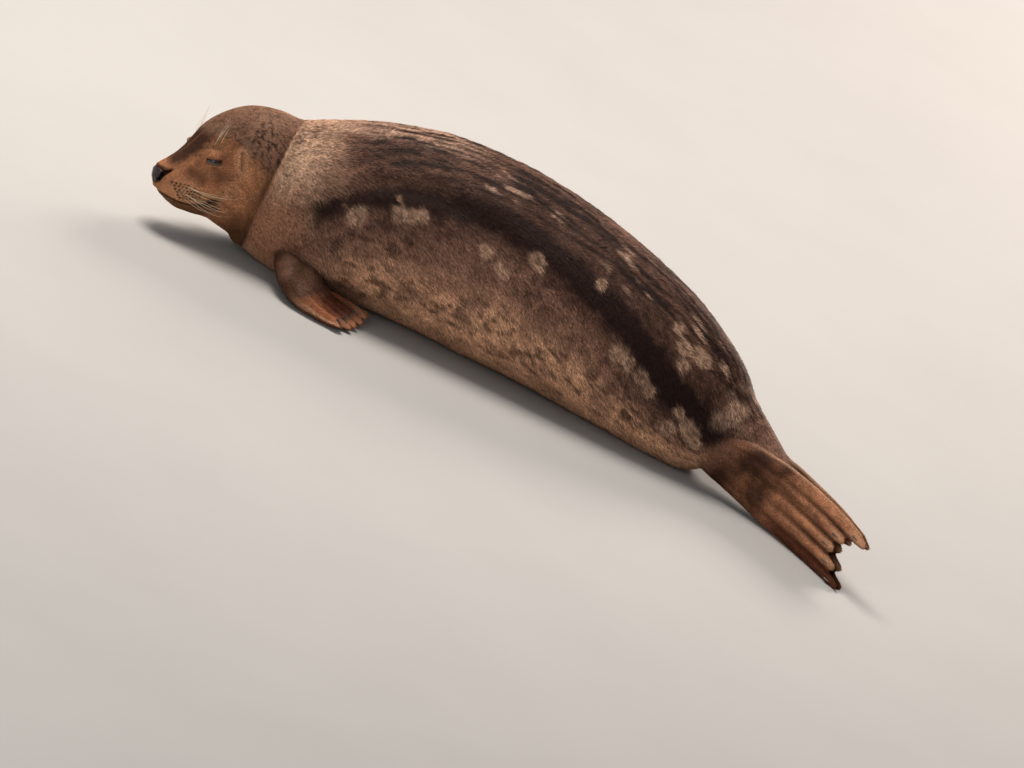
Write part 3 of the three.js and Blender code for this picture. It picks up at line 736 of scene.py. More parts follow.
def flipper_point(blade, reach, hand, lie, share, across, side, inset=0.0, relief=0.0):
    """Points of a flipper: its middle line at that share of the digit's length, plus the half width
    times across, plus or minus the half thickness, which is less in the webs, at the rims and at the
    tips. The cup lifts both edges. hand -1 is the right fore flipper, and lie is +1 or -1 for the hind
    flippers, which lie either side of one middle line."""
    whole = reach_of(blade)[-1]
    ridge = digit_ridge(across)
    place = np.clip(((1 - across) * DIGITS - 1) / 2, 0, DIGITS - 1)
    digit = np.minimum(place.astype(int), DIGITS - 2)
    step = ease(place - digit, WEB_START, 1 - WEB_START)
    length = reach[digit] + (reach[digit + 1] - reach[digit]) * step
    length = length * (1 - WEB_NOTCH * (1 - ridge) ** 2)
    distance = share * (1 - (1 - length) * share) * whole
    s, ahead = follow(blade, distance), follow(blade, distance + 1)
    along = ahead[..., :3] - s[..., :3]
    along /= np.linalg.norm(along, axis=-1, keepdims=True)
    heading, tilt = np.radians(s[..., 3]), np.radians(s[..., 4])
    flat = np.cos(tilt)
    wide = np.stack([np.cos(heading) * flat, np.sin(heading) * flat, np.sin(tilt)], -1)
    wide -= along * np.sum(wide * along, axis=-1, keepdims=True)
    wide /= np.linalg.norm(wide, axis=-1, keepdims=True)
    thick = np.cross(along, wide) * (lie or 1)
    centre = s[..., :3] + thick * (abs(lie) * (s[..., 6] + SOLE_GAP))[..., None]
    web = 1 - WEB_THIN * np.where(lie, share * share, ease(share, 0.45, 0.95)) * (1 - ridge) ** 1.6
    rim = np.sqrt(1 - np.abs(across) ** 3)
    tip = np.sqrt(np.maximum(0, 1 - np.maximum(0, (share - TIP_START) / (1 - TIP_START)) ** 2))
    body = s[..., 6] * web * rim * tip
    lift = side * np.maximum(body - inset + relief, 0.25 * np.minimum(body, 1)) + s[..., 7] * across ** 2
    points = centre + wide * (across * (s[..., 5] - inset))[..., None] + thick * lift[..., None]
    if hand < 0:
        points[..., 1] = 2 * CHEST_MIDDLE - points[..., 1]
    points[..., 2] = np.maximum(points[..., 2], SKIN_LOWEST)
    return points


def flipper_relief(share, across, side, seed):
    """Wrinkles across the wrist, knuckles at three places of each digit, and the furrows between them."""
    ridge = digit_ridge(across)
    out = -1.8 * (1 - ridge) ** 3 * ease(share, 0.5, 0.8) * (np.abs(across) < 0.9)
    for joint in KNUCKLES:
        out += 0.9 * bell(share - joint - 0.02 * np.cos(7 * across + seed), 0.025) * ridge
    folds = ripple(np.stack([share * 34, across * 3.0, side + 0 * share], -1), 1.0, seed)
    out += 1.2 * folds * bell(share - 0.38, 0.16)
    return out + 0.5 * ripple(np.stack([share * 14, across * 9, side + 0 * share], -1), 1.0, seed + 3)


def flipper_mesh(name, blade, reach, limb, hand, lie):
    """A flipper's skin as rings from root to tips. Each ring goes over its back and returns under it,
    with its columns closer together towards the rims."""
    steps = np.linspace(0, 1, FLIPPER_ROWS) ** 0.85 * 0.998
    half = np.linspace(1, -1, FLIPPER_COLUMNS + 1)
    half = 0.55 * half + 0.45 * np.sin(half * np.pi / 2)
    ring = np.concatenate([half, half[-2:0:-1]])
    sides = np.concatenate([np.ones(FLIPPER_COLUMNS + 1), -np.ones(FLIPPER_COLUMNS - 1)])
    share, across = np.meshgrid(steps, ring, indexing="ij")
    side = np.broadcast_to(sides, share.shape)
    relief = flipper_relief(share, across, side, limb)
    points = flipper_point(blade, reach, hand, lie, share, across, side, FLIPPER_INSET, relief)
    flow, _ = grid_slopes(points)
    faces = loft_faces(*share.shape, turned=hand * (lie or 1) < 0)
    circle = across * ACROSS_SCALE + SIDE_SCALE * side
    facts = dict(made=np.ones(share.size), limb=np.full(share.size, limb))
    facts.update(along=share * SHARE_SCALE, round=circle, flow=flow)
    return write_mesh(name, points.reshape(-1, 3), *faces, **facts)


def read_circle(circle):
    """The share across a flipper and its side, +1 above and -1 below, from the fact kept as round."""
    side = np.sign(circle)
    return np.clip((circle - SIDE_SCALE * side) / ACROSS_SCALE, -1, 1), side


# name, blade, reach of the digits, number, hand, and the side of the middle line it lies on
LIMBS = [
    ("fore_flipper_left", FORE_BLADE, FORE_REACH, 1, 1, 0),
    ("fore_flipper_right", FORE_BLADE, FORE_REACH, 2, -1, 0),
    ("hind_flipper_left", HIND_BLADE, HIND_REACH, 3, 1, 1),
    ("hind_flipper_right", HIND_BLADE, HIND_REACH, 4, 1, -1),
]


def mesh_edges(mesh):
    """Both ends of every edge of the mesh."""
    ends = np.empty(len(mesh.edges) * 2, dtype=np.int32)
    mesh.edges.foreach_get("vertices", ends)
    return ends.reshape(-1, 2)


def neighbour_mean(values, edges, weights=None):
    """For each point, the mean of the values at the points that share an edge with it."""
    weights = np.ones(len(values)) if weights is None else weights
    total = np.zeros_like(values)
    count = np.zeros(len(values))
    for here, there in (edges.T, edges.T[::-1]):
        np.add.at(total, here, (values[there].T * weights[there]).T)
        np.add.at(count, here, weights[there])
    count = np.maximum(count, 1e-9)
    return total / (count if values.ndim == 1 else count[:, None])


# what the joined hide keeps for its points, and how many numbers each is
SKIN_FACTS = {"limb": 1, "along": 1, "round": 1, "flow": 3}
# rounds that carry facts over the join, widen the relaxed band round it, and relax it
JOIN_FILL, JOIN_WIDEN, JOIN_RELAX = 4, 7, 14


def fuse_skin():
    """The body and its four flippers joined into one closed hide. The join is then relaxed, so that
    each flipper grows out of the body in a soft fold, and facts are carried over to the new points."""
    body = add_object(body_mesh())
    limbs = [add_object(flipper_mesh(name + "_skin", *form)) for name, *form in LIMBS]
    for limb in limbs:
        join = body.modifiers.new(limb.name, "BOOLEAN")
        join.object, join.operation, join.solver = limb, "UNION", "MANIFOLD"
    shown = body.evaluated_get(bpy.context.evaluated_depsgraph_get())
    mesh = bpy.data.meshes.new_from_object(shown)
    for piece in [body, *limbs]:
        bpy.data.meshes.remove(piece.data)
    mesh.name = "skin"
    edges = mesh_edges(mesh)
    made = read_fact(mesh, "made")
    known = (made > 0.999).astype(float)
    facts = {name: read_fact(mesh, name, width) for name, width in SKIN_FACTS.items()}
    for _ in range(JOIN_FILL):
        grown = neighbour_mean(known, edges, known) > 0.5
        for name in facts:
            mean = neighbour_mean(facts[name], edges, known)
            fresh = grown & (known < 0.5)
            facts[name][fresh] = mean[fresh]
        known = np.maximum(known, grown)
    points = read_points(mesh)
    seam = 1.0 - (made > 0.999)
    for _ in range(JOIN_WIDEN):
        seam = np.maximum(seam, neighbour_mean(seam, edges) * 1.25)
    seam = np.clip(seam, 0, 1)
    for _ in range(JOIN_RELAX):
        points += (neighbour_mean(points, edges) - points) * (0.6 * seam)[:, None]
    points[:, 2] = np.maximum(points[:, 2], SKIN_LOWEST)
    mesh.vertices.foreach_set("co", (points * MM).astype(np.float32).ravel())
    for name in ("made", *facts):
        mesh.attributes.remove(mesh.attributes[name])
    for name, values in facts.items():
        keep_fact(mesh, name, values)
    mesh.materials.clear()
    mesh.shade_smooth()
    mesh.update()
    return mesh


skin_mesh = fuse_skin()

# ==== Markings ====
# The colours that skin and coat share: a back with dark specks, a dark band along the furrow of the upper
# flank that is partly the coat's own dark and partly painted shade, pale rings, a grey-brown flank that
# pales to a cream belly, an orange face and flippers.


def paint(red, green, blue):
    """A colour given as it looks on a screen, 0 to 255, as the light it sends back."""
    value = np.array([red, green, blue]) / 255
    return np.where(value < 0.04, value / 12.92, ((value + 0.055) / 1.055) ** 2.4)


def mix(colour, other, share):
    """Goes from one colour to another by a share that differs from point to point."""
    return colour + (other - colour) * np.clip(share, 0, 1)[..., None]


BACK_BROWN, BACK_DARK, STREAK = paint(100, 70, 57), paint(38, 22, 16), paint(186, 150, 128)
# the band's colour is partly the coat's own dark and partly painted shade in the furrow of the flank
BAND_DARK_AND_SHADE, FLANK, CREAM = paint(36, 18, 13), paint(120, 87, 72), paint(204, 157, 124)
# the lower neck's colour is painted shade
NECK_PALE, NECK_LOW_SHADE, RING_PALE = paint(196, 160, 133), paint(150, 106, 82), paint(180, 145, 120)
FACE, FACE_PALE, FACE_DARK = paint(174, 120, 84), paint(200, 150, 112), paint(78, 46, 32)
CROWN, DOT, CHIN = paint(136, 102, 82), paint(44, 27, 22), paint(108, 73, 50)
FACE_RED, BRIDGE, LID_GREY = paint(146, 94, 68), paint(50, 31, 24), paint(104, 102, 106)
FLIPPER, FLIPPER_PALE, FLIPPER_DARK = paint(172, 118, 86), paint(206, 162, 128), paint(66, 39, 27)
RUST, RUST_DARK = paint(128, 72, 44), paint(74, 32, 18)

# distance and turn of the middle of the dark band
BAND_LINE = [
    (300, 1.80), (319, 1.43), (339, 1.22), (371, 1.06), (416, 0.95), (474, 0.87), (564, 0.83), (648, 0.78),
    (719, 0.78), (783, 0.80), (860, 0.82), (938, 0.88), (1008, 0.93), (1079, 1.02), (1137, 1.10),
    (1195, 1.17), (1250, 1.20), (1300, 1.32),
]
# distance, and how wide the band is and how far it hangs below its line
BAND_WIDTH = [(300, 17), (420, 24), (700, 32), (1000, 34), (1180, 46), (1260, 42)]
BAND_DROP = [(300, 6), (1000, 6), (1180, 22), (1300, 20)]
# distance, and the millimetres of skin for a radian of turn
TRUNK_GIRTH = [(250, 105), (400, 160), (900, 180), (1200, 130), (1300, 90), (1450, 25)]
# distance, turn, radius, how full
PALE_RINGS = [
    (384, 1.24, 16, 0.9), (461, 1.11, 13, 0.3), (486, 1.09, 12, 0.5), (510, 1.05, 11, 0.3),
    (448, 0.95, 6, 0.9), (674, 1.13, 11, 0.9), (731, 1.24, 12, 0.4), (715, 1.19, 8, 0.8),
    (783, 0.97, 13, 0.2), (800, 1.05, 7, 0.9), (925, 0.80, 10, 0.2), (1028, 1.30, 15, 0.8),
    (1055, 1.31, 12, 0.5), (1092, 1.35, 13, 0.4), (1118, 1.42, 12, 0.6), (1131, 0.78, 11, 0.3),
    (1156, 0.70, 13, 0.6), (1176, 0.68, 12, 0.5), (1182, 1.70, 15, 0.3), (1227, 1.62, 16, 0.7),
    (1210, 1.52, 12, 0.5), (1189, 1.43, 9, 0.4), (1150, 0.92, 10, 0.2), (1240, 1.78, 13, 0.4),
    (1100, 0.62, 9, 0.5), (1268, 0.78, 12, 0.5),
]
# on the right side each ring is shifted along by up to this, and turned by this much for a millimetre
RING_SHIFT, RING_TURN = 17, 0.002


def speckle(points, size, seed, above, soft=0.15, stretch=(1, 1, 1)):
    """1 on scattered specks of about that size, where random waves stand above a level."""
    return ease(ripple(points, size, seed, stretch), above, above + soft)


def trunk_colour(points, distance, turn):
    """Neck, trunk and tail: back over the band, flank under it, cream belly, rings, spots and streaks. The
    band is partly painted shade, and painted shade darkens the lower neck and the armpit.
    """
    side = np.abs(turn)
    right = (turn < 0).astype(float)
    wide = ripple(points, 60, 31)
    patch = ripple(points, 22, 32)
    spot = ripple(points, 9, 33)
    girth = read_line(TRUNK_GIRTH, distance)
    band = read_line(BAND_LINE, distance) + right * (0.06 * wide - 0.05)
    below = (side - band) * girth
    grain = np.stack([distance, turn * girth, 0 * turn], -1)
    streaks = ripple(grain, 4.5, 47, (3, 1, 1))
    flecks = speckle(grain, 5.5, 48, 0.18, 0.2, (2.2, 1, 1))
    colour = FLANK * (1.08 + 0.30 * patch + 0.22 * spot + 0.30 * streaks)[..., None]
    colour = mix(colour, BACK_BROWN * (1.1 + 0.28 * spot + 0.3 * streaks)[..., None], ease(below, -8, -34))
    furrows = ripple(grain, 7, 41, (9, 1, 1)) + 0.5 * ripple(grain, 4, 42, (8, 1, 1))
    on_back = ease(side, 0.95, 0.5) * ease(distance, 300, 420)
    colour = mix(colour, BACK_DARK, on_back * (0.48 + 0.30 * wide + 0.6 * ease(furrows, -0.1, 0.5)))
    crown_line = ease(side, 0.30, 0.08)
    colour = mix(colour, BACK_BROWN * 1.25, crown_line * 0.55 * ease(furrows, 0.3, -0.3))
    crest = ease(turn + 0.05 * patch, 0.34, 0.16) * ease(turn, -0.5, -0.3) * ease(distance, 640, 500)
    colour = mix(colour, STREAK, 0.60 * crest * ease(furrows, 0.6, 0.0))
    pale = speckle(grain, 6.5, 43, 0.42, 0.2, (6, 1, 1)) * ease(side, 0.12, 0.24) * ease(side, 0.85, 0.6)
    colour = mix(colour, STREAK, 0.75 * pale * ease(distance, 520, 640) * speckle(points, 55, 44, -0.1, 0.4))
    lower = ease(below, 60, 150) * ease(side, 1.2, 1.7)
    colour = mix(colour, FLANK * 1.25, 0.5 * ease(below, 20, 70) * ease(distance, 420, 360))
    cream = CREAM * (1 + 0.1 * spot + 0.15 * streaks)[..., None]
    colour = mix(colour, cream, lower * (0.72 + 0.5 * patch + 0.35 * wide))
    on_trunk = ease(distance, 330, 400) * ease(distance, 1150, 1000)
    under_band = ease(below, 95, 20) * ease(below, -20, 0) * on_trunk
    colour = mix(colour, BACK_DARK * 1.3, under_band * (0.42 + 0.35 * patch + 0.2 * spot))
    flecked = ease(distance, 330, 380) * ease(side, 2.2, 1.9) * ease(wide, -0.5, 0.3)
    colour = mix(colour, BACK_DARK, 0.6 * flecks * flecked)
    # the dark band: partly the coat's own dark, partly painted shade in the furrow over the flank
    band_and_shade = bell(below - read_line(BAND_DROP, distance), read_line(BAND_WIDTH, distance))
    there = ease(distance, 292, 325) * ease(distance, 1330, 1260)
    dark = there * band_and_shade * (1 + 0.25 * patch + 0.2 * spot)
    colour = mix(colour, BAND_DARK_AND_SHADE, 1.35 * dark)
    shoulder = bell(distance - 322 - 14 * wide - 8 * patch, 34) * ease(side, 1.1, 1.3) * ease(side, 2.5, 2.1)
    colour = mix(colour, BACK_DARK, shoulder * (0.62 + 0.7 * patch + 0.5 * spot))
    arm_patch = bell(distance - 350, 40) * bell(side - 1.75, 0.3) * ease(patch, -0.2, 0.4)
    colour = mix(colour, BACK_DARK, 0.5 * arm_patch)
    low_spots = speckle(grain, 9, 45, 0.38, 0.15, (1.8, 1, 1)) * ease(side, 1.5, 1.7) * ease(side, 2.35, 2.1)
    colour = mix(colour, BACK_DARK * 1.6, 0.7 * low_spots * ease(distance, 370, 420))
    neck = ease(distance + 18 * wide + 10 * patch + 6 * spot, 352, 276)
    neck_top = NECK_PALE * (1 + 0.18 * spot + 0.22 * streaks)[..., None]
    # painted shade: the neck darkens towards its lower side
    neck_tone_shaded_low = mix(neck_top, NECK_LOW_SHADE, ease(side + 0.1 * patch, 1.0, 1.7))
    colour = mix(colour, neck_tone_shaded_low, neck * (1 - 0.45 * right * ease(side, 0.2, 0.8)))
    nape = neck * ease(side + 0.15 * patch, 0.80, 0.30)
    colour = mix(colour, CROWN * 1.3, 0.45 * nape)
    colour = mix(colour, DOT, 0.7 * nape * speckle(points, 4.0, 53, 0.15, 0.2))
    neck_dots = speckle(points, 4, 46, 0.22, 0.2)
    colour = mix(colour, BACK_DARK * 1.8, 0.5 * neck * ease(side, 1.7, 1.2) * neck_dots)
    ring_shade = 0.85 + 0.3 * spot + 0.2 * streaks
    for at, angle, radius, full in PALE_RINGS:
        for hand in (1, -1):
            shift = 0 if hand > 0 else RING_SHIFT * np.sin(at)
            middle = body_surface(np.array(at + shift), np.array(hand * (angle + RING_TURN * shift)))
            gap = np.linalg.norm(points - middle, axis=-1) * (1 + 0.34 * spot + 0.26 * patch)
            filling = 0.6 * full * ease(gap, radius, radius * 0.5)
            ring = np.maximum(bell(gap - radius * 0.8, radius * 0.36), filling)
            colour = mix(colour, RING_PALE, ring_shade * ring * ease(gap, radius * 2.2, radius * 1.4))
    # painted shade in the armpit, low on the side beside the fore flipper, which also keeps the cream of the
    # belly from there
    armpit_shade = bell(distance - 405, 60) * ease(side, 1.95, 2.25)
    colour = mix(colour, BACK_DARK * 1.3, armpit_shade * (0.8 + 0.3 * patch))
    under = ease(side, 2.2, 2.6)
    colour = mix(colour, CREAM * 0.85, under * (0.8 - 0.7 * armpit_shade))
    pale_rump = ease(distance + 12 * patch, 1238, 1272) * ease(side, 1.5, 1.1) * (turn > -0.4)
    colour = mix(colour, STREAK, pale_rump * (0.28 + 0.8 * patch + 0.3 * spot))
    tail = ease(distance + 12 * patch, 1275, 1335)
    tail_top = FLANK * (1.25 + 0.3 * spot)[..., None]
    tail_tone = mix(tail_top, FLIPPER_DARK, 0.8 * ease(patch + 0.3 * wide, -0.1, 0.4))
    return mix(colour, tail_tone, 0.85 * tail)


WHISKER_ROWS = 6


def whisker_roots():
    """Back and up of the whisker roots on one side of the muzzle: rows that grow longer and lie lower
    and further back one after the other, each falling behind, down to the lip."""
    places = []
    for row in range(WHISKER_ROWS):
        count = 4 + min(row + 1, 3)
        for column in range(count):
            back = 21 + 7.0 * column + 1.5 * row + 1.2 * (row % 2)
            up = -6 - 6.3 * row - 2.9 * column + 0.05 * column ** 2
            if up > lip_height(back) + 4:
                places.append((back, up))
    return np.array(places)


WHISKER_ROOTS = whisker_roots()
# distance and turn of the lower edge of the dotted crown
CROWN_EDGE = [
    (100, 0.30), (120, 0.42), (141, 0.61), (157, 0.73), (165, 0.95), (172, 1.12), (188, 1.18), (214, 1.26),
    (235, 1.2),
]
# distance, and the turn where the dark band of the bridge ends
BRIDGE_EDGE = [(40, 0.84), (100, 0.74), (130, 0.52)]
# back, up, size and strength of the dark patches round the eye and of the pale parts of cheek and brow
DARK_PATCHES = [
    (62, 2, 12, 0.75), (76, -12, 10, 0.7), (100, 10, 9, 0.45), (108, -8, 13, 0.55), (124, -12, 10, 0.4),
]
PALE_PATCHES = [
    (128, -22, 12, 0.5), (114, -44, 13, 0.65), (104, -50, 9, 0.5), (147, 0, 9, 0.7), (100, 46, 8, 0.4),
]
# back and up of single dark follicles on the cheek and brow
FOLLICLES = [(122, -13), (109, -37), (121, -39), (128, -30), (114, 53), (108, 47), (120, 50), (104, 55)]


def head_colour(points, distance, turn):
    """Brown-orange face with redder and paler parts, a dark band down the bridge, a brown crown full of
    dark dots, whisker pads with rows of dark roots, dark lips and lid rims, orange-rimmed ears. Painted
    light
    and shade: the face is lighter low down and darker over the brow, a highlight runs along the bridge's
    ridge, shade lies over the upper lids and in the ear slits, and in front of the neck's crease the skin is
    darker, partly its own colour and partly painted shade."""
    back, left, up = np.moveaxis(in_head(points), -1, 0)
    side = np.abs(left)
    patch, wide = ripple(points, 15, 51), ripple(points, 34, 55)
    spot, fine = ripple(points, 5, 52), ripple(points, 2.6, 56)
    angle = np.abs(turn)
    mottle = 1 + 0.12 * patch + 0.20 * spot + 0.22 * fine
    # painted light and shade: the face is lighter low down and darker from just above the eyes over the brow
    colour = FACE * (mottle * (1.15 - 0.42 * ease(up, 26, 50)))[..., None]
    colour = mix(colour, FACE_DARK, 0.45 * ease(patch + 0.6 * spot, 0.15, 0.9) * ease(side, 14, 26))
    colour = mix(colour, FACE_RED, ease(wide + 0.4 * patch, -0.1, 0.6) * 0.6)
    kinds = ((DARK_PATCHES, FACE_DARK, 0.25, 22), (PALE_PATCHES, FACE_PALE, 0.2, 14))
    for patches, tone, wander, edge in kinds:
        for at, height, size, full in patches:
            gap = np.hypot(back - at, up - height) * (1 + wander * patch)
            colour = mix(colour, tone, full * bell(gap, size) * ease(side, edge, edge + 12))
    band = ease(angle + 0.06 * spot, read_line(BRIDGE_EDGE, distance), 0.38) * ease(distance, 24, 46)
    bridge = BRIDGE * (1 + 0.2 * patch + 0.15 * fine)[..., None]
    colour = mix(colour, bridge, band * ease(distance, 158, 122) * 0.92)
    # painted highlight: a redder, lighter line along the ridge of the bridge
    ridge = ease(angle, 0.10, 0.03) * ease(distance, 30, 50)
    colour = mix(colour, FACE_RED, 0.3 * ridge * ease(distance, 140, 110))
    edge = read_line(CROWN_EDGE, distance)
    crown = ease(angle + 0.07 * patch + 0.03 * spot, edge + 0.16, edge - 0.12) * ease(distance, 104, 126)
    colour = mix(colour, CROWN * (0.9 + 0.12 * wide + 0.22 * fine)[..., None], crown * 0.9)
    dotted = ease(angle + 0.12 * patch, edge + 0.30, edge - 0.05) * ease(distance, 118, 150)
    dots = speckle(points, 4.0, 53, 0.10, 0.16)
    crowded = 0.62 + 0.38 * ease(wide + 0.5 * patch, -0.5, 0.3)
    colour = mix(colour, DOT, dots * crowded * dotted * (0.4 + 0.5 * bell(angle - 0.85, 0.4)))
    pad = bell(np.hypot((back - 40) / 1.3, up + 30 + 0.35 * (back - 40)), 21)
    colour = mix(colour, FACE_PALE * 1.15, 0.75 * (pad * ease(side, 14, 24) * ease(back, 92, 70)))
    for at, height in WHISKER_ROOTS:
        gap = np.hypot(back - at, up - height)
        colour = mix(colour, FACE_DARK * 0.5, 0.95 * ease(gap, 3.0, 1.7) * (side > 12) * (back < 100))
    for at, height in FOLLICLES:
        gap = np.hypot(back - at, up - height)
        colour = mix(colour, FACE_DARK * 0.6, 0.8 * ease(gap, 2.6, 1.0) * (side > 20))
    over_lip = up - lip_height(back)
    front = ease(back, 110, 95)
    jaw = front * ease(over_lip, 0, -4) * ease(over_lip, -44, -20)
    colour = mix(colour, CHIN * (1 + 0.2 * spot + 0.15 * fine)[..., None], 0.85 * jaw)
    colour = mix(colour, FACE_DARK * 0.3, front * bell(over_lip + 1.4, 2.6))
    colour = mix(colour, FACE_DARK * 0.35, bell(np.hypot(back - 86, up + 58), 8) * front)
    throat = ease(angle + 0.1 * patch, 1.75, 2.5) * ease(distance, 90, 140)
    colour = mix(colour, CHIN * 0.85, 0.8 * throat)
    # darker in front of the neck's crease low on the head's side: partly darker fur, partly painted shade in
    # the crease
    crease = ease(crease_gap(points), -46, -4)
    colour = mix(colour, CHIN * 0.7, 0.75 * crease * ease(angle, 1.0, 1.5))
    gap, _ = line_gap(np.stack([back, up], -1), EAR_SLIT)
    beside = ease(side, 30, 50)
    colour = mix(colour, FACE_PALE * 0.95, 0.75 * beside * bell(gap - 5.5, 4.2))
    # painted shade in the ear slit
    colour = mix(colour, FACE_DARK * 0.2, beside * bell(gap, 1.9))
    for hand in (1, -1):
        _, ray, x, y = round_eye(points, hand)
        lids = ease(ray, 30, 25) * ease(np.abs(x), SLIT_HALF + 1.5, SLIT_HALF - 4)
        colour = mix(colour, FACE_DARK, 0.6 * lids * bell(y, 7))
        colour = mix(colour, FACE_PALE, 0.45 * lids * bell(y + 9.5, 2.2))
        colour = mix(colour, LID_GREY, 0.75 * lids * bell(y + 4.6, 1.5) * bell(x + 1, 10))
        colour = mix(colour, FACE_DARK * 0.2, lids * ease(np.abs(y - 0.7), 3.6, 2.4))
        # painted shade over the upper lid, above the slit
        colour = mix(colour, FACE_DARK * 1.2, 0.5 * ease(ray, 34, 28) * bell(y - 9, 4) * bell(x - 4, 16))
    bed = ease(on_pad(left, up), 1.15, 0.95) * ease(back, 36, 28)
    return mix(colour, FACE_DARK * 0.5, bed)


def flipper_colour(points, share, across, side, hind):
    """Hind flippers: tan digits with grooves between them darkened by painted shade, dark at the ankle and
    along the lower edge. Fore flippers: the arm, dark with specks and painted shade, a rusty brown wrist,
    and a web between tan digits painted dark red-brown as shade in its cupped hollow."""
    patch, wide = ripple(points, 24, 61), ripple(points, 45, 64)
    spot, fine = ripple(points, 7, 62), ripple(points, 3.2, 63)
    ridge = digit_ridge(across)
    inner = np.abs(across) < 0.88
    colour = FLIPPER * (1 + 0.18 * patch + 0.18 * spot + 0.2 * fine)[..., None]
    groove = (1 - ridge) ** 2.4 * inner
    blotch = 0.12 * wide + 0.07 * patch + 0.03 * spot
    ankle = hind * bell(share - 0.34 - 0.08 * across + blotch, 0.19) * (1.0 + 0.4 * patch)
    hip = hind * ease(share + blotch, 0.30, 0.14)
    colour = mix(colour, FLANK * (1.0 + 0.3 * spot + 0.2 * fine)[..., None], 0.75 * hip)
    colour = mix(colour, FLIPPER_DARK, ankle)
    # painted shade in the grooves between the hind digits, deeper towards the tips
    colour = mix(colour, FLIPPER_DARK, hind * (0.25 + 0.6 * ease(share, 0.5, 0.9)) * groove)
    lower = hind * ease(across, -0.50, -0.66) * ease(share, 0.42, 0.62)
    colour = mix(colour, RUST_DARK * (1 + 0.2 * spot)[..., None], 0.9 * lower)
    upper = hind * bell(across - 0.42 + blotch, 0.12) * ease(share, 0.35, 0.55) * ease(share, 0.92, 0.78)
    colour = mix(colour, FLIPPER_DARK, 0.55 * upper)
    colour = mix(colour, FLIPPER_PALE, 0.5 * hind * ridge * ease(share, 0.86, 0.97) * (1 - lower))
    # the fore arm is dark: partly dark specks of its coat, partly painted shade
    arm = (1 - hind) * ease(share + 0.04 * patch - 0.04 * across, 0.70, 0.58)
    arm_top = FLANK * (1 + 0.15 * spot)[..., None]
    speckled_and_shaded = mix(arm_top, BACK_DARK, 0.62 + 0.38 * ease(patch + 0.6 * spot, -0.3, 0.4))
    wrist = (1 - hind) * ease(share, 0.52, 0.62) * ease(share, 0.92, 0.78) * ease(side, -0.2, 0.2)
    colour = mix(colour, RUST * (1 + 0.15 * spot + 0.1 * fine)[..., None], 0.8 * wrist)
    # painted shade: the web in the cupped hollow between the fore digits is painted dark red-brown
    web = (1 - hind) * ease(share, 0.55, 0.70) * ease(share, 0.97, 0.88)
    web = web * ease(np.abs(across - 0.1), 0.72, 0.5)
    colour = mix(colour, RUST_DARK * (0.8 + 0.2 * spot)[..., None], 0.85 * web)
    colour = mix(colour, speckled_and_shaded, 0.9 * arm)
    colour = mix(colour, FLIPPER_DARK * 0.8, 0.55 * ease(side, 0.2, -0.2) * (1 - arm))
    rim = ease(np.abs(across), 0.93, 0.99) * (hind + (1 - hind) * ease(share, 0.5, 0.7))
    return mix(colour, FLIPPER_PALE, 0.6 * rim)


# the limb numbers above this are the hind flippers, and the least and most light the skin sends back
HIND_ABOVE, SKIN_LIMITS = 2.5, (0.004, 0.9)


def coat_colour(points, limb, along, circle):
    """The colour of skin or hair at points, from the limb's number, the place along it and round it."""
    colour = np.zeros((len(points), 3))
    body = limb < 0.5
    at, distance, turn = points[body], along[body], circle[body]
    behind = ease(crease_gap(at), -1.5, 2.5)
    colour[body] = mix(head_colour(at, distance, turn), trunk_colour(at, distance, turn), behind)
    blade = ~body
    across, side = read_circle(circle[blade])
    hind = (limb[blade] > HIND_ABOVE).astype(float)
    colour[blade] = flipper_colour(points[blade], along[blade] / SHARE_SCALE, across, side, hind)
    return np.clip(colour, *SKIN_LIMITS)


def smooth_over_joins(colour, limb, edges, rounds=5):
    """Blends the colours where a flipper leaves the body, along a band a few faces wide."""
    join = np.zeros(len(limb))
    here, there = edges.T
    change = (np.abs(limb[here] - limb[there]) > 0.3).astype(float)
    np.maximum.at(join, here, change)
    np.maximum.at(join, there, change)
    for _ in range(rounds):
        join = np.maximum(join, neighbour_mean(join, edges) * 1.3)
    join = np.clip(join, 0, 1)
    for _ in range(rounds * 2):
        colour = colour + (neighbour_mean(colour, edges) - colour) * join[:, None]
    return colour


skin_points = read_points(skin_mesh)
skin_limb, skin_along, skin_circle = (read_fact(skin_mesh, name) for name in ("limb", "along", "round"))
skin_colour = coat_colour(skin_points, skin_limb, skin_along, skin_circle)
skin_colour = smooth_over_joins(skin_colour, skin_limb, mesh_edges(skin_mesh))
keep_fact(skin_mesh, "coat_colour", np.column_stack([skin_colour, np.ones(len(skin_colour))]))


def bare_places(points, limb, along, circle):
    """1 where no hair grows: between the lids, under the nose pad, in the nostrils, between the lips and
    round the claws."""
    back, left, up = np.moveaxis(in_head(points), -1, 0)
    bare = ease(on_pad(left, up), 1.0, 0.95) * (back < 34) * (back > -30)
    lips = ease(np.abs(up - lip_height(back) + 1.0), 2.6, 1.6) * (back < 96) * (back > -30)
    bare = np.maximum(bare, lips)
    for side in (1, -1):
        _, ray, x, y = round_eye(points, side)
        bare = np.maximum(bare, ease(np.abs(y), 4.6, 3.4) * (np.abs(x) < SLIT_HALF + 1) * (ray < 24))
    bare = bare * (limb < 0.5)
    across, side = read_circle(circle)
    claw = (digit_ridge(across) > 0.55) & (side > 0) & (np.abs(across) < 0.97)
    return np.maximum(bare, claw * ease(along, 850, 880) * (limb > 0.5))


skin_bare = bare_places(skin_points, skin_limb, skin_along, skin_circle)

# the sockets of a Mix node that is set to colours: its share, first and second colour, and its result
MIX_SHARE, MIX_FIRST, MIX_SECOND, MIX_RESULT = 0, 6, 7, 2

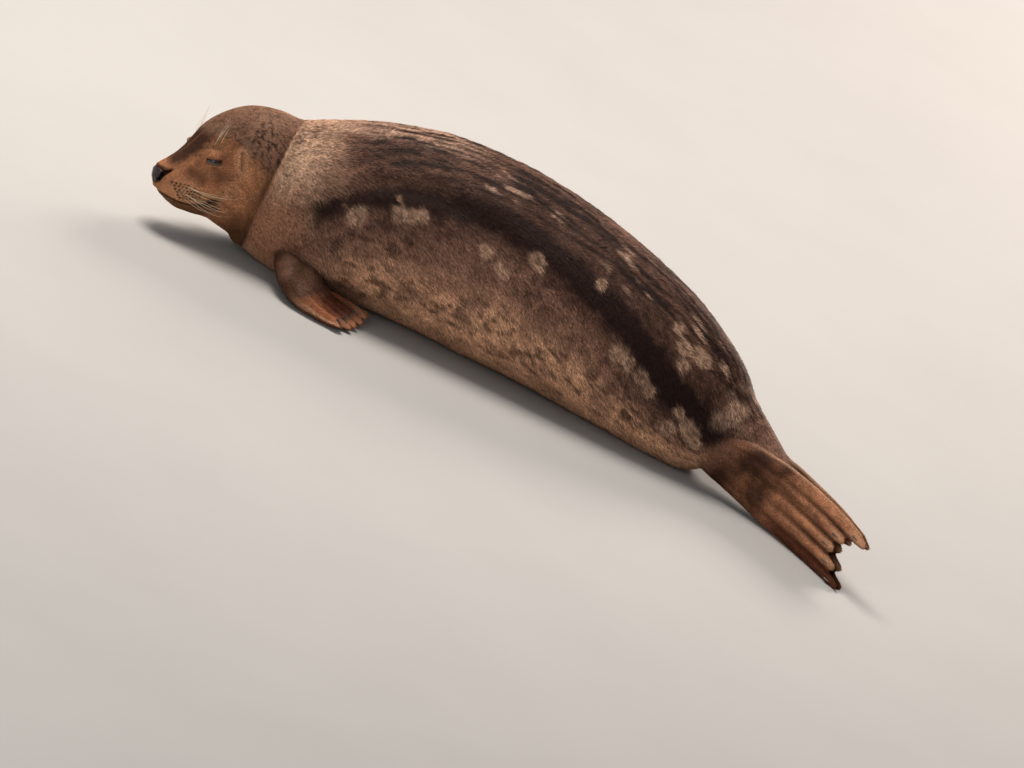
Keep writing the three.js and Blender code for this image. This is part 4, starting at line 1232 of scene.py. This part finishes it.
hide, tree, shader, place = new_finish("hide", Roughness=0.7, Specular_IOR_Level=0.12)
marks = add_node(tree, "ShaderNodeAttribute", {"attribute_name": "coat_colour"})
hairs = add_node(tree, "ShaderNodeTexNoise", Scale=420.0, Detail=4.0, Roughness=0.6)
shade = add_node(tree, "ShaderNodeMapRange", From_Min=0.3, From_Max=0.7, To_Min=0.55, To_Max=1.05)
tinted = add_node(tree, "ShaderNodeMix", {"data_type": "RGBA", "blend_type": "MULTIPLY"})
tinted.inputs[MIX_SHARE].default_value = 1.0
pits = add_node(tree, "ShaderNodeBump", Strength=0.5, Distance=0.0006)
join_nodes(
    tree,
    (place, "Object", hairs, "Vector"),
    (hairs, "Fac", shade, "Value"),
    (marks, "Color", tinted, MIX_FIRST),
    (shade, "Result", tinted, MIX_SECOND),
    (tinted, MIX_RESULT, shader, "Base Color"),
    (hairs, "Fac", pits, "Height"),
    (pits, "Normal", shader, "Normal"),
)
skin_mesh.materials.append(hide)
skin = add_object(skin_mesh)
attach(skin, "root")
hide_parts("head", "lower_jaw", "nose", "neck", "chest", "belly", "loin", "rump", "tail")
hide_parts(*(limb[0] for limb in LIMBS))

# ==== Nose ====
# The pad of bare, damp, finely pitted black skin round the nostrils, with a purple cast. It is a grid laid
# over the front of the muzzle, sunk along the nostrils and down the middle, and shut behind. Inside the
# nostrils it is painted near black, as shade.

PAD_ROWS, PAD_COLUMNS = 60, 180
CAP_ROWS = 14
# how far along the surface the pad's rim is looked for, and how deep the pad goes behind it
PAD_SEARCH, PAD_CORE = 46, 12


def nose_pad():
    """Rings of the body's surface from the tip of the nose out to the pad's oval rim, where the rim is
    found for each turn along the surface. The nostrils and the middle groove are pushed in, the rim dips
    under the hair, and two smaller rings behind shut it."""
    turn = np.arange(PAD_COLUMNS) / PAD_COLUMNS * 2 * np.pi
    reach = np.linspace(0, PAD_SEARCH, 5 * PAD_SEARCH + 1)
    front = body_surface(*np.meshgrid(reach, turn, indexing="ij"))
    _, left, up = np.moveaxis(in_head(front), -1, 0)
    rim = reach[np.argmax(on_pad(left, up) > 1.0, axis=0)]
    share = np.linspace(0, 1, PAD_ROWS)[:, None]
    points = body_surface(share * rim, np.broadcast_to(turn, (PAD_ROWS, PAD_COLUMNS)), 0.6)
    middle = points[0].mean(axis=0)
    bulge = np.linspace(0.04, np.pi / 2, CAP_ROWS)[:-1, None, None]
    cap = middle + (points[0] - middle) * np.sin(bulge) - HEAD_AXES[0] * NOSE_CAP_BULGE * np.cos(bulge)
    points = np.concatenate([cap, points])
    down, around = grid_slopes(points)
    normal = unit(np.cross(around, down))
    _, left, up = np.moveaxis(in_head(points), -1, 0)
    edge = on_pad(left, up)
    gap, _ = line_gap(np.stack([np.abs(left), up], -1), NOSTRIL)
    out = -0.6 - 2.0 * ease(edge, 0.84, 1.0) + 0.8 * bell(gap - 5.0, 1.6) * ease(edge, 0.95, 0.8)
    out -= 8.5 * ease(gap, 3.8, 1.6)
    out -= 1.3 * bell(left, 1.0) * ease(up, 14, 4) + 0.25 * ripple(points, 3.0, 81)
    points = points + normal * out[..., None]
    core = points[-1].mean(axis=0) + HEAD_AXES[0] * PAD_CORE
    inward = points[-1] - core
    points = np.concatenate([points, [core + inward * 0.6, core + inward * 0.05]])
    # painted shade: how far into a nostril each point lies, which turns the pad near black there
    dark = np.concatenate([ease(gap, 4.0, 2.4), np.ones((2, PAD_COLUMNS))])
    return write_mesh("nose_pad", points.reshape(-1, 3), *loft_faces(len(points), PAD_COLUMNS), depth=dark)


nose_leather, tree, shader, place = new_finish("nose_leather", Roughness=0.45, Specular_IOR_Level=0.25)
depth = add_node(tree, "ShaderNodeAttribute", {"attribute_name": "depth"})
cells = add_node(tree, "ShaderNodeTexVoronoi", Scale=900.0)
stain = add_node(tree, "ShaderNodeTexNoise", Scale=110.0, Detail=4.0, Roughness=0.6)
tint = two_tones(tree, 0.35, (0.016, 0.009, 0.011), 0.7, (0.052, 0.030, 0.034))
# painted shade in the nostrils, mixed in by that depth
hollow = add_node(tree, "ShaderNodeMix", {"data_type": "RGBA"})
hollow.inputs[MIX_SECOND].default_value = (0.004, 0.003, 0.003, 1)
pits = add_node(tree, "ShaderNodeBump", Strength=0.55, Distance=0.0005)
join_nodes(
    tree,
    (place, "Object", cells, "Vector"),
    (place, "Object", stain, "Vector"),
    (stain, "Fac", tint, "Fac"),
    (depth, "Fac", hollow, MIX_SHARE),
    (tint, "Color", hollow, MIX_FIRST),
    (hollow, MIX_RESULT, shader, "Base Color"),
    (cells, "Distance", pits, "Height"),
    (pits, "Normal", shader, "Normal"),
)
nose_mesh = nose_pad()
nose_mesh.materials.append(nose_leather)
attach(add_object(nose_mesh), "root")

# ==== Eyes ====
# Wet balls behind the half-shut lids, almost black, with a shallow bulge in front and a grey inner lid
# painted over their lower part. Each is a fine ball of rings round the way that the eye looks.

EYE_ROWS, EYE_COLUMNS = 48, 64
CORNEA_BULGE, CORNEA_REACH = 0.9, 0.55
# how far the ball lies inside the lids, and the angle of its first and last ring
BALL_INSET, POLE_ANGLE = 0.1, 0.02


def eyeball(name, side):
    """Rings round the way the eye looks, at an angle from it, of the ball's radius plus a bell-shaped
    bulge of that angle. Its fact is how far the grey inner lid covers each point. The two balls mirror
    each other, so the left one's faces are turned round."""
    ahead, along, over = eye_axes()
    angle = np.linspace(POLE_ANGLE, np.pi - POLE_ANGLE, EYE_ROWS)[:, None]
    spin = (np.arange(EYE_COLUMNS) / EYE_COLUMNS * 2 * np.pi)[None]
    ray = (EYE_RADIUS + CORNEA_BULGE * bell(angle, CORNEA_REACH) - BALL_INSET)[..., None]
    ring = along * np.cos(spin)[..., None] + over * np.sin(spin)[..., None]
    local = ray * (ahead * np.cos(angle)[..., None] + ring * np.sin(angle)[..., None])
    points = head_point((EYE_PLACE + local) * (1, side, 1))
    _, _, x, y = round_eye(points, side)
    lid = ease(y + 0.05 * x, -1.5, -2.3)
    faces = loft_faces(EYE_ROWS, EYE_COLUMNS, turned=side > 0)
    return write_mesh(name, points.reshape(-1, 3), *faces, lid=lid)


wet_eye, tree, shader, place = new_finish("wet_eye", Roughness=0.16, Coat_Weight=0.3, Coat_Roughness=0.05)
cover = add_node(tree, "ShaderNodeAttribute", {"attribute_name": "lid"})
veins = add_node(tree, "ShaderNodeTexNoise", Scale=300.0, Detail=5.0, Roughness=0.65)
ball_tint = two_tones(tree, 0.4, (0.006, 0.005, 0.006), 0.7, (0.020, 0.012, 0.010))
lid_tint = two_tones(tree, 0.35, (0.050, 0.047, 0.050), 0.7, (0.11, 0.10, 0.10))
covered = add_node(tree, "ShaderNodeMix", {"data_type": "RGBA"})
join_nodes(
    tree,
    (place, "Object", veins, "Vector"),
    (veins, "Fac", ball_tint, "Fac"),
    (veins, "Fac", lid_tint, "Fac"),
    (cover, "Fac", covered, MIX_SHARE),
    (ball_tint, "Color", covered, MIX_FIRST),
    (lid_tint, "Color", covered, MIX_SECOND),
    (covered, MIX_RESULT, shader, "Base Color"),
)
for name, side in (("eye_left", 1), ("eye_right", -1)):
    ball = eyeball(f"{name}_ball", side)
    ball.materials.append(wet_eye)
    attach(add_object(ball), "root")
    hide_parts(name)

# ==== Claws ====
# A hooked claw at the end of each of the twenty digits, dark horn that is paler and worn at the tip. Each
# is a tapering tube of small faces, long on the fore flippers and short on the hind ones.

# length, radius, hook, share of the digit at its root, share of the digit's thickness
FORE_CLAW, HIND_CLAW = (22.0, 3.4, 0.22, 0.88, 0.85), (16.0, 2.4, 0.15, 0.92, 0.90)
CLAW_AIM, CLAW_WIDTH, CLAW_POINT, CLAW_RAISE = 0.05, 0.8, 0.97, 1.4
# the height of the side under a claw to its other one, and its lowest height over the floor
CLAW_UNDER, CLAW_LOWEST = 0.75, 0.4
CLAW_ROWS, CLAW_COLUMNS = 18, 16


def digit_claws(name, blade, reach, hand, lie):
    """Five claws as one mesh. Each ring is an oval whose girth goes with the root of what is left of the
    length, dropped by the hook times the square of the share of the length, and lies along its digit."""
    long, radius, hook, along_at, lift = FORE_CLAW if lie == 0 else HIND_CLAW
    across = 1 - (2 * np.arange(DIGITS) + 1) / DIGITS

    def spot(share, side):
        """The place on each digit at that share of its length and of its thickness."""
        return flipper_point(blade, reach, hand, lie, np.full(DIGITS, share), across, side)

    root = spot(along_at, lift)
    through = spot(along_at, 1.0) - spot(along_at, -1.0)
    raised = unit(through) * CLAW_RAISE
    along = unit(spot(along_at + CLAW_AIM, lift) - root)
    sideways = unit(np.cross(through, along))
    upright = np.cross(along, sideways)
    share = np.linspace(0, 1, CLAW_ROWS)[:, None]
    spin = (np.arange(CLAW_COLUMNS) / CLAW_COLUMNS * 2 * np.pi)[None]
    girth = radius * np.sqrt(1 - share * CLAW_POINT) * (1 + 0.04 * np.sin(share * 34))
    forward = share * long + 0 * spin
    side = -np.sin(spin) * girth * CLAW_WIDTH
    height = np.cos(spin) * girth * np.where(np.cos(spin) < 0, CLAW_UNDER, 1.0) - hook * long * share ** 2
    measures = ((forward, along), (side, sideways), (height, upright))
    grid = sum(part[None, ..., None] * axis[:, None, None] for part, axis in measures)
    points = ((root + raised)[:, None, None] + grid).reshape(-1, 3)
    points[:, 2] = np.maximum(points[:, 2], CLAW_LOWEST)
    faces = [repeat_faces(kind, DIGITS, height.size) for kind in loft_faces(CLAW_ROWS, CLAW_COLUMNS)]
    tip = np.tile(np.broadcast_to(share, height.shape).ravel(), DIGITS)
    return write_mesh(name, points, *faces, tip=tip)


horn, tree, shader, place = new_finish("horn", Roughness=0.35)
tip = add_node(tree, "ShaderNodeAttribute", {"attribute_name": "tip"})
grain = add_node(tree, "ShaderNodeTexNoise", Scale=650.0, Detail=4.0, Roughness=0.6)
wander = add_node(tree, "ShaderNodeMath", {"operation": "MULTIPLY_ADD"})
wander.inputs[1].default_value = 0.5
tint = two_tones(tree, 0.35, (0.016, 0.012, 0.011), 1.0, (0.10, 0.066, 0.046))
worn = add_node(tree, "ShaderNodeBump", Strength=0.3, Distance=0.0004)
join_nodes(
    tree,
    (place, "Object", grain, "Vector"),
    (grain, "Fac", wander, 0),
    (tip, "Fac", wander, 2),
    (wander, "Value", tint, "Fac"),
    (tint, "Color", shader, "Base Color"),
    (grain, "Fac", worn, "Height"),
    (worn, "Normal", shader, "Normal"),
)
for name, blade, reach, _, hand, lie in LIMBS:
    claws = digit_claws(f"{name}_claws", blade, reach, hand, lie)
    claws.materials.append(horn)
    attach(add_object(claws), "root")
    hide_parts(*(f"{name}_claw_{digit + 1}" for digit in range(DIGITS)))

# ==== Whiskers ====
# Stiff bristles in rows from the whisker pads: long ones behind, swept back and down with tips that curl
# up, short stubs between them, and a few finer ones over each eye. Each is a tapering tube of pale
# straw-coloured horn, darker at the root.

WHISKER_STEPS, WHISKER_SIDES = 18, 6
BROW_ROOTS = np.array([(108, 46), (112, 50), (116, 54), (122, 55), (118, 47)])
# shares of the roots that carry a long bristle, behind on the pad, and a stub
LONG_SHARE, STUB_SHARE = 0.40, 0.25
# length in front on the pad and how much more behind, and for the brow the least and the spread
LONG_BRISTLE, STUB_BRISTLE, BROW_BRISTLE = (42, 74), (6, 4), (50, 18)
PAD_RADIUS, BROW_RADIUS, BRISTLE_TAPER = 0.44, 0.34, 0.86
BRISTLE_SINK, BRISTLE_LOWEST = 1.5, 1.5
# the roots lie in front of this distance and this place behind the nose, and this far from the middle
MUZZLE_REACH, MUZZLE_BACK, MUZZLE_SIDE = 150, 140, 12
# the way a brow bristle grows, how all sag and where the curl leads, as back, out and up
BROW_WAY, SAG_WAY, CURL_WAY = (0.45, 0.15, 0.85), np.array([0.10, -0.03, -0.10]), np.array([0.35, 0.1, 1.0])
WAY_CHANCE, LENGTH_SPREAD = 0.07, 0.14


def whisker_mesh():
    """Each bristle leaves its root, the point of the skin nearest to its place, along a way of its own,
    sags by the square of the share of its length and curls up by the fourth power. Rings of a radius that
    falls evenly to a fine tip go round it. Which roots carry one, and its bend, are random."""
    chance = np.random.default_rng(17)
    places, hands, brow = [], [], []
    for hand in (1, -1):
        for over_eye, roots in ((0.0, WHISKER_ROOTS), (1.0, BROW_ROOTS)):
            places.append(roots)
            hands.append(np.full(len(roots), hand))
            brow.append(np.full(len(roots), over_eye))
    places, hands, brow = np.concatenate(places).astype(float), np.concatenate(hands), np.concatenate(brow)
    near = skin_points[(skin_along < MUZZLE_REACH) & (skin_limb < 0.5)]
    near = near[in_head(near)[:, 0] < MUZZLE_BACK]
    mine = in_head(near)
    gap = np.hypot(mine[None, :, 0] - places[:, :1], mine[None, :, 2] - places[:, 1:])
    gap = gap + 1000 * (mine[None, :, 1] * hands[:, None] < MUZZLE_SIDE)
    mirror = np.stack([np.ones(len(hands)), hands, np.ones(len(hands))], -1)
    root = in_head(near[np.argmin(gap, axis=1)]) * mirror
    behind = np.clip((places[:, 0] - 20) / 42, 0, 1)
    long = chance.random(len(root)) < LONG_SHARE * (behind > 0.3)
    shown = long | (brow > 0) | (chance.random(len(root)) < STUB_SHARE)
    kept = (places, mirror, brow, root, behind, long)
    places, mirror, brow, root, behind, long = (part[shown] for part in kept)
    count = len(root)
    low = np.clip((-places[:, 1] - 10) / 40, 0, 1)
    wobble = chance.standard_normal((count, 3)) * WAY_CHANCE
    way = np.stack([0.45 + 0.40 * behind, 0.62 - 0.36 * behind, -0.42 - 0.22 * low], -1)
    way = np.where(brow[:, None] > 0, BROW_WAY, way) + wobble
    pad_length = np.where(long, LONG_BRISTLE[0] + LONG_BRISTLE[1] * behind,
                          STUB_BRISTLE[0] + STUB_BRISTLE[1] * behind)
    length = pad_length * (1 + LENGTH_SPREAD * chance.standard_normal(count))
    length = np.where(brow > 0, BROW_BRISTLE[0] + BROW_BRISTLE[1] * chance.random(count), length)
    curl = np.where(brow > 0, -0.05, 0.20 + 0.22 * chance.random(count) * behind)
    t = np.linspace(0, 1, WHISKER_STEPS)[None, :, None]
    path = unit(way)[:, None] * t + SAG_WAY * t ** 2 + (curl[:, None, None] * CURL_WAY) * t ** 4
    path = root[:, None] - unit(way)[:, None] * BRISTLE_SINK + path * length[:, None, None]
    path = head_point(path * mirror[:, None])
    path[..., 2] = np.maximum(path[..., 2], BRISTLE_LOWEST)
    ahead = unit(np.gradient(path, axis=1))
    beside = unit(np.cross(ahead, [0.2, 0.3, 1.0]))
    over = np.cross(ahead, beside)
    radius = np.where(brow > 0, BROW_RADIUS, PAD_RADIUS)[:, None, None, None]
    radius = radius * (1 - BRISTLE_TAPER * t[..., None])
    spin = (np.arange(WHISKER_SIDES) / WHISKER_SIDES * 2 * np.pi)[None, None, :, None]
    rings = path[:, :, None] + radius * (beside[:, :, None] * np.cos(spin) + over[:, :, None] * np.sin(spin))
    each = WHISKER_STEPS * WHISKER_SIDES
    faces = [repeat_faces(kind, count, each) for kind in loft_faces(WHISKER_STEPS, WHISKER_SIDES)]
    tip = np.tile(np.repeat(t.ravel(), WHISKER_SIDES), count)
    return write_mesh("whiskers", rings.reshape(-1, 3), *faces, tip=tip)


bristle, tree, shader, place = new_finish("bristle", Roughness=0.32)
tip = add_node(tree, "ShaderNodeAttribute", {"attribute_name": "tip"})
grain = add_node(tree, "ShaderNodeTexNoise", Scale=500.0, Detail=3.0, Roughness=0.6)
wander = add_node(tree, "ShaderNodeMath", {"operation": "MULTIPLY_ADD"})
wander.inputs[1].default_value = 0.35
tint = two_tones(tree, 0.15, (0.20, 0.12, 0.07), 0.45, (0.86, 0.70, 0.50))
join_nodes(
    tree,
    (place, "Object", grain, "Vector"),
    (grain, "Fac", wander, 0),
    (tip, "Fac", wander, 2),
    (wander, "Value", tint, "Fac"),
    (tint, "Color", shader, "Base Color"),
)
whiskers = whisker_mesh()
whiskers.materials.append(bristle)
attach(add_object(whiskers), "root")

# ==== Coat ====
# Short hair in thin pointed tufts, each a keeled sliver of two faces that lies back over the skin. They
# are longest on the trunk, a few millimetres long on the head and flippers, and least on the face.

# tufts per square millimetre, length, width and lift of the tip, for each part of the coat
FACE_HAIR, HEAD_HAIR = (1.5, 2.6, 0.5, 0.6), (1.1, 4.2, 0.7, 1.0)
TRUNK_HAIR, FLIPPER_HAIR = (0.31, 12.5, 1.7, 2.7), (0.46, 4.4, 0.9, 0.8)
UNDER_SHARE = 0.25
# the root's depth and the shoulders' height as shares of the lift, the shoulders' place along the tuft,
# and the lowest height over the floor
ROOT_SINK, SHOULDER_LIFT, SHOULDER_AT, HAIR_LOWEST = 0.12, 0.22, 0.42, 0.15
# how much chance changes a tuft's length, width, lift, turn and tone, and the limits of its size
LENGTH_CHANCE, WIDTH_CHANCE, LIFT_CHANCE, TURN_CHANCE, TONE_CHANCE = 0.22, 0.2, 0.30, 0.10, 0.36
SIZE_LIMITS, LIFT_LIMITS, TONE_LIMITS, HAIR_LIMITS = (0.5, 1.6), (0.3, 1.8), (0.35, 2.0), (0.003, 0.95)
# the most tufts in a piece
PIECE_TUFTS = 92000
# the bake map: size of a tuft's patch, the body's height on the sheet, and the flippers' place over it
PATCH, BODY_SHEET, FLIPPER_SHEET, LIMB_SHEET = 0.003, 0.66, 0.68, 0.245


def hair_kind(limb, along, circle):
    """Number, length, width and lift of the hair at each place, as four columns."""
    kinds = (FACE_HAIR, HEAD_HAIR, TRUNK_HAIR, FLIPPER_HAIR)
    face, head, trunk, flipper = (np.array(kind) for kind in kinds)
    kind = face + (head - face) * ease(along, 60, 130)[:, None]
    kind = kind + (trunk - kind) * ease(along, 205, 330)[:, None]
    kind = kind + (flipper - kind) * ease(along, 1290, 1400)[:, None]
    kind = np.where((limb > 0.5)[:, None], flipper, kind)
    below = ease(np.abs(circle), 2.35, 2.6) * ease(along, 330, 420) * ease(along, 1250, 1180)
    kind[:, 0] *= 1 - (1 - UNDER_SHARE) * ((limb < 0.5) * below)
    return kind


def triangles_of(mesh):
    """The three points of each of the mesh's triangles."""
    mesh.calc_loop_triangles()
    corners = np.empty(len(mesh.loop_triangles) * 3, dtype=np.int32)
    mesh.loop_triangles.foreach_get("vertices", corners)
    return corners.reshape(-1, 3)


def scatter_hair():
    """Roots of the tufts: each triangle of the skin gets its area times the hair's number, rounded up or
    down by chance, at random places in it. Facts of its corners are blended to the root."""
    chance = np.random.default_rng(7)
    corners = triangles_of(skin_mesh)
    a, b, c = (skin_points[corners[:, k]] for k in range(3))
    area = np.linalg.norm(np.cross(b - a, c - a), axis=1) / 2
    kinds = hair_kind(skin_limb, skin_along, skin_circle)
    kinds[:, 0] *= 1 - skin_bare
    wanted = area * kinds[corners, 0].mean(axis=1)
    count = np.floor(wanted + chance.random(len(wanted))).astype(int)
    face = np.repeat(np.arange(len(corners)), count)
    u, v = chance.random(len(face)), chance.random(len(face))
    fold = u + v > 1
    u, v = np.where(fold, 1 - u, u), np.where(fold, 1 - v, v)
    weight = np.stack([1 - u - v, u, v], -1)
    nearest = corners[face, np.argmax(weight, axis=1)]
    normals = np.empty(len(skin_points) * 3, dtype=np.float32)
    skin_mesh.vertices.foreach_get("normal", normals)
    normals = normals.reshape(-1, 3).astype(float)

    def blend(values):
        """The values of each triangle's corners, blended to the roots in it."""
        return np.einsum("nk,nkd->nd", weight, values[corners[face]])

    hair = {"root": blend(skin_points), "up": unit(blend(normals)), "colour": blend(skin_colour)}
    hair["flow"] = blend(read_fact(skin_mesh, "flow", 3))
    hair["limb"] = skin_limb[nearest].round()
    hair["along"] = skin_along[nearest]
    hair["circle"] = skin_circle[nearest]
    hair["kind"] = kinds[nearest]
    return hair, chance


def lay_hair(hair, chance):
    """Four points a tuft: root, two shoulders and tip. It leans along the flow, turned a little by slow
    waves and by chance, and its keel from root to tip stands over its shoulders."""
    root, up = hair["root"], hair["up"]
    count = len(root)
    flow = unit(hair["flow"] - up * np.sum(hair["flow"] * up, axis=1, keepdims=True))
    sideways = np.cross(flow, up)
    swirl = 0.22 * ripple(root, 45, 71) + 0.20 * ripple(root, 14, 72)
    swirl = swirl + TURN_CHANCE * chance.standard_normal(count)
    flow = unit(flow * np.cos(swirl)[:, None] + sideways * np.sin(swirl)[:, None])
    sideways = np.cross(flow, up)
    _, length, width, lift = hair["kind"].T
    length = length * (1 + LENGTH_CHANCE * chance.standard_normal(count)).clip(*SIZE_LIMITS)
    width = width * (1 + WIDTH_CHANCE * chance.standard_normal(count)).clip(*SIZE_LIMITS)
    rise = 1 + LIFT_CHANCE * chance.standard_normal(count) + 0.35 * ripple(root, 10, 73)
    lift = lift * rise.clip(*LIFT_LIMITS)
    start = root - up * (ROOT_SINK * lift)[:, None]
    middle = start + flow * (SHOULDER_AT * length)[:, None] + up * (SHOULDER_LIFT * lift)[:, None]
    spread = sideways * (0.5 * width)[:, None]
    tip = start + flow * length[:, None] + up * lift[:, None]
    points = np.stack([start, middle + spread, tip, middle - spread], axis=1)
    points[..., 2] = np.maximum(points[..., 2], HAIR_LOWEST)
    return points


def unwrap(hair):
    """Each root's place on a flat plan of the skin: the body's distance and turn in the lower part, and
    the four flippers' share and girth side by side over it."""
    limb, along, circle = hair["limb"], hair["along"], hair["circle"]
    body = limb < 0.5
    across, side = read_circle(circle)
    on_limb = (limb - 1) * LIMB_SHEET + (across * side + 1) * 0.06 + (side > 0) * 0.12
    u = np.where(body, along / BODY_REACH[-1] * 0.98, on_limb)
    on_limb = FLIPPER_SHEET + along / SHARE_SCALE * 0.30
    v = np.where(body, (circle / (2 * np.pi) + 0.5) * BODY_SHEET, on_limb)
    return np.stack([np.clip(u, 0, 0.99), np.clip(v, 0, 0.99)], -1)


def coat_mesh(name, points, colour, place, chance):
    """Tufts as one mesh, two triangles each, with their colour, how near the tip each point is, and the
    bake map: a small patch at each root's place."""
    count = len(points)
    first = np.arange(count)[:, None] * 4
    triangles = np.concatenate([first + [0, 1, 2], first + [0, 2, 3]], axis=1).reshape(-1, 3)
    tone = colour * (1 + TONE_CHANCE * chance.standard_normal(count)).clip(*TONE_LIMITS)[:, None]
    tone = np.clip(np.repeat(tone, 4, axis=0), *HAIR_LIMITS)
    tips = np.tile([0.0, 0.5, 1.0, 0.5], count)
    facts = dict(coat_colour=np.column_stack([tone, np.ones(len(tone))]), tip=tips)
    mesh = write_mesh(name, points.reshape(-1, 3), [], triangles, **facts)
    patch = np.array([(0, 0), (0.5, 1), (1, 1), (0, 0), (1, 1), (1, 0)]) * PATCH
    sheet = (place[:, None, :] + patch[None]).reshape(-1, 2)
    mesh.uv_layers.new(name="OFBake").data.foreach_set("uv", sheet.astype(np.float32).ravel())
    return mesh


hair_finish, tree, shader, place = new_finish("hair_finish", Roughness=0.62, Specular_IOR_Level=0.12)
marks = add_node(tree, "ShaderNodeAttribute", {"attribute_name": "coat_colour"})
tip = add_node(tree, "ShaderNodeAttribute", {"attribute_name": "tip"})
wear = add_node(tree, "ShaderNodeTexNoise", Scale=260.0, Detail=3.0, Roughness=0.6)
root_shade = add_node(tree, "ShaderNodeMapRange", To_Min=0.45, To_Max=1.36)
wear_shade = add_node(tree, "ShaderNodeMapRange", From_Min=0.3, From_Max=0.7, To_Min=0.72, To_Max=1.24)
both = add_node(tree, "ShaderNodeMath", {"operation": "MULTIPLY"})
tinted = add_node(tree, "ShaderNodeMix", {"data_type": "RGBA", "blend_type": "MULTIPLY"})
tinted.inputs[MIX_SHARE].default_value = 1.0
join_nodes(
    tree,
    (place, "Object", wear, "Vector"),
    (tip, "Fac", root_shade, "Value"),
    (wear, "Fac", wear_shade, "Value"),
    (root_shade, "Result", both, 0),
    (wear_shade, "Result", both, 1),
    (marks, "Color", tinted, MIX_FIRST),
    (both, "Value", tinted, MIX_SECOND),
    (tinted, MIX_RESULT, shader, "Base Color"),
)

hair, chance = scatter_hair()
tuft_points = lay_hair(hair, chance)
tuft_places = unwrap(hair)
order = np.lexsort((hair["along"], hair["limb"]))
pieces = int(np.ceil(len(order) / PIECE_TUFTS))
for number, group in enumerate(np.array_split(order, pieces)):
    tufts = (tuft_points[group], hair["colour"][group], tuft_places[group])
    part = coat_mesh(f"coat_{number + 1}", *tufts, chance)
    part.materials.append(hair_finish)
    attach(add_object(part), "root")
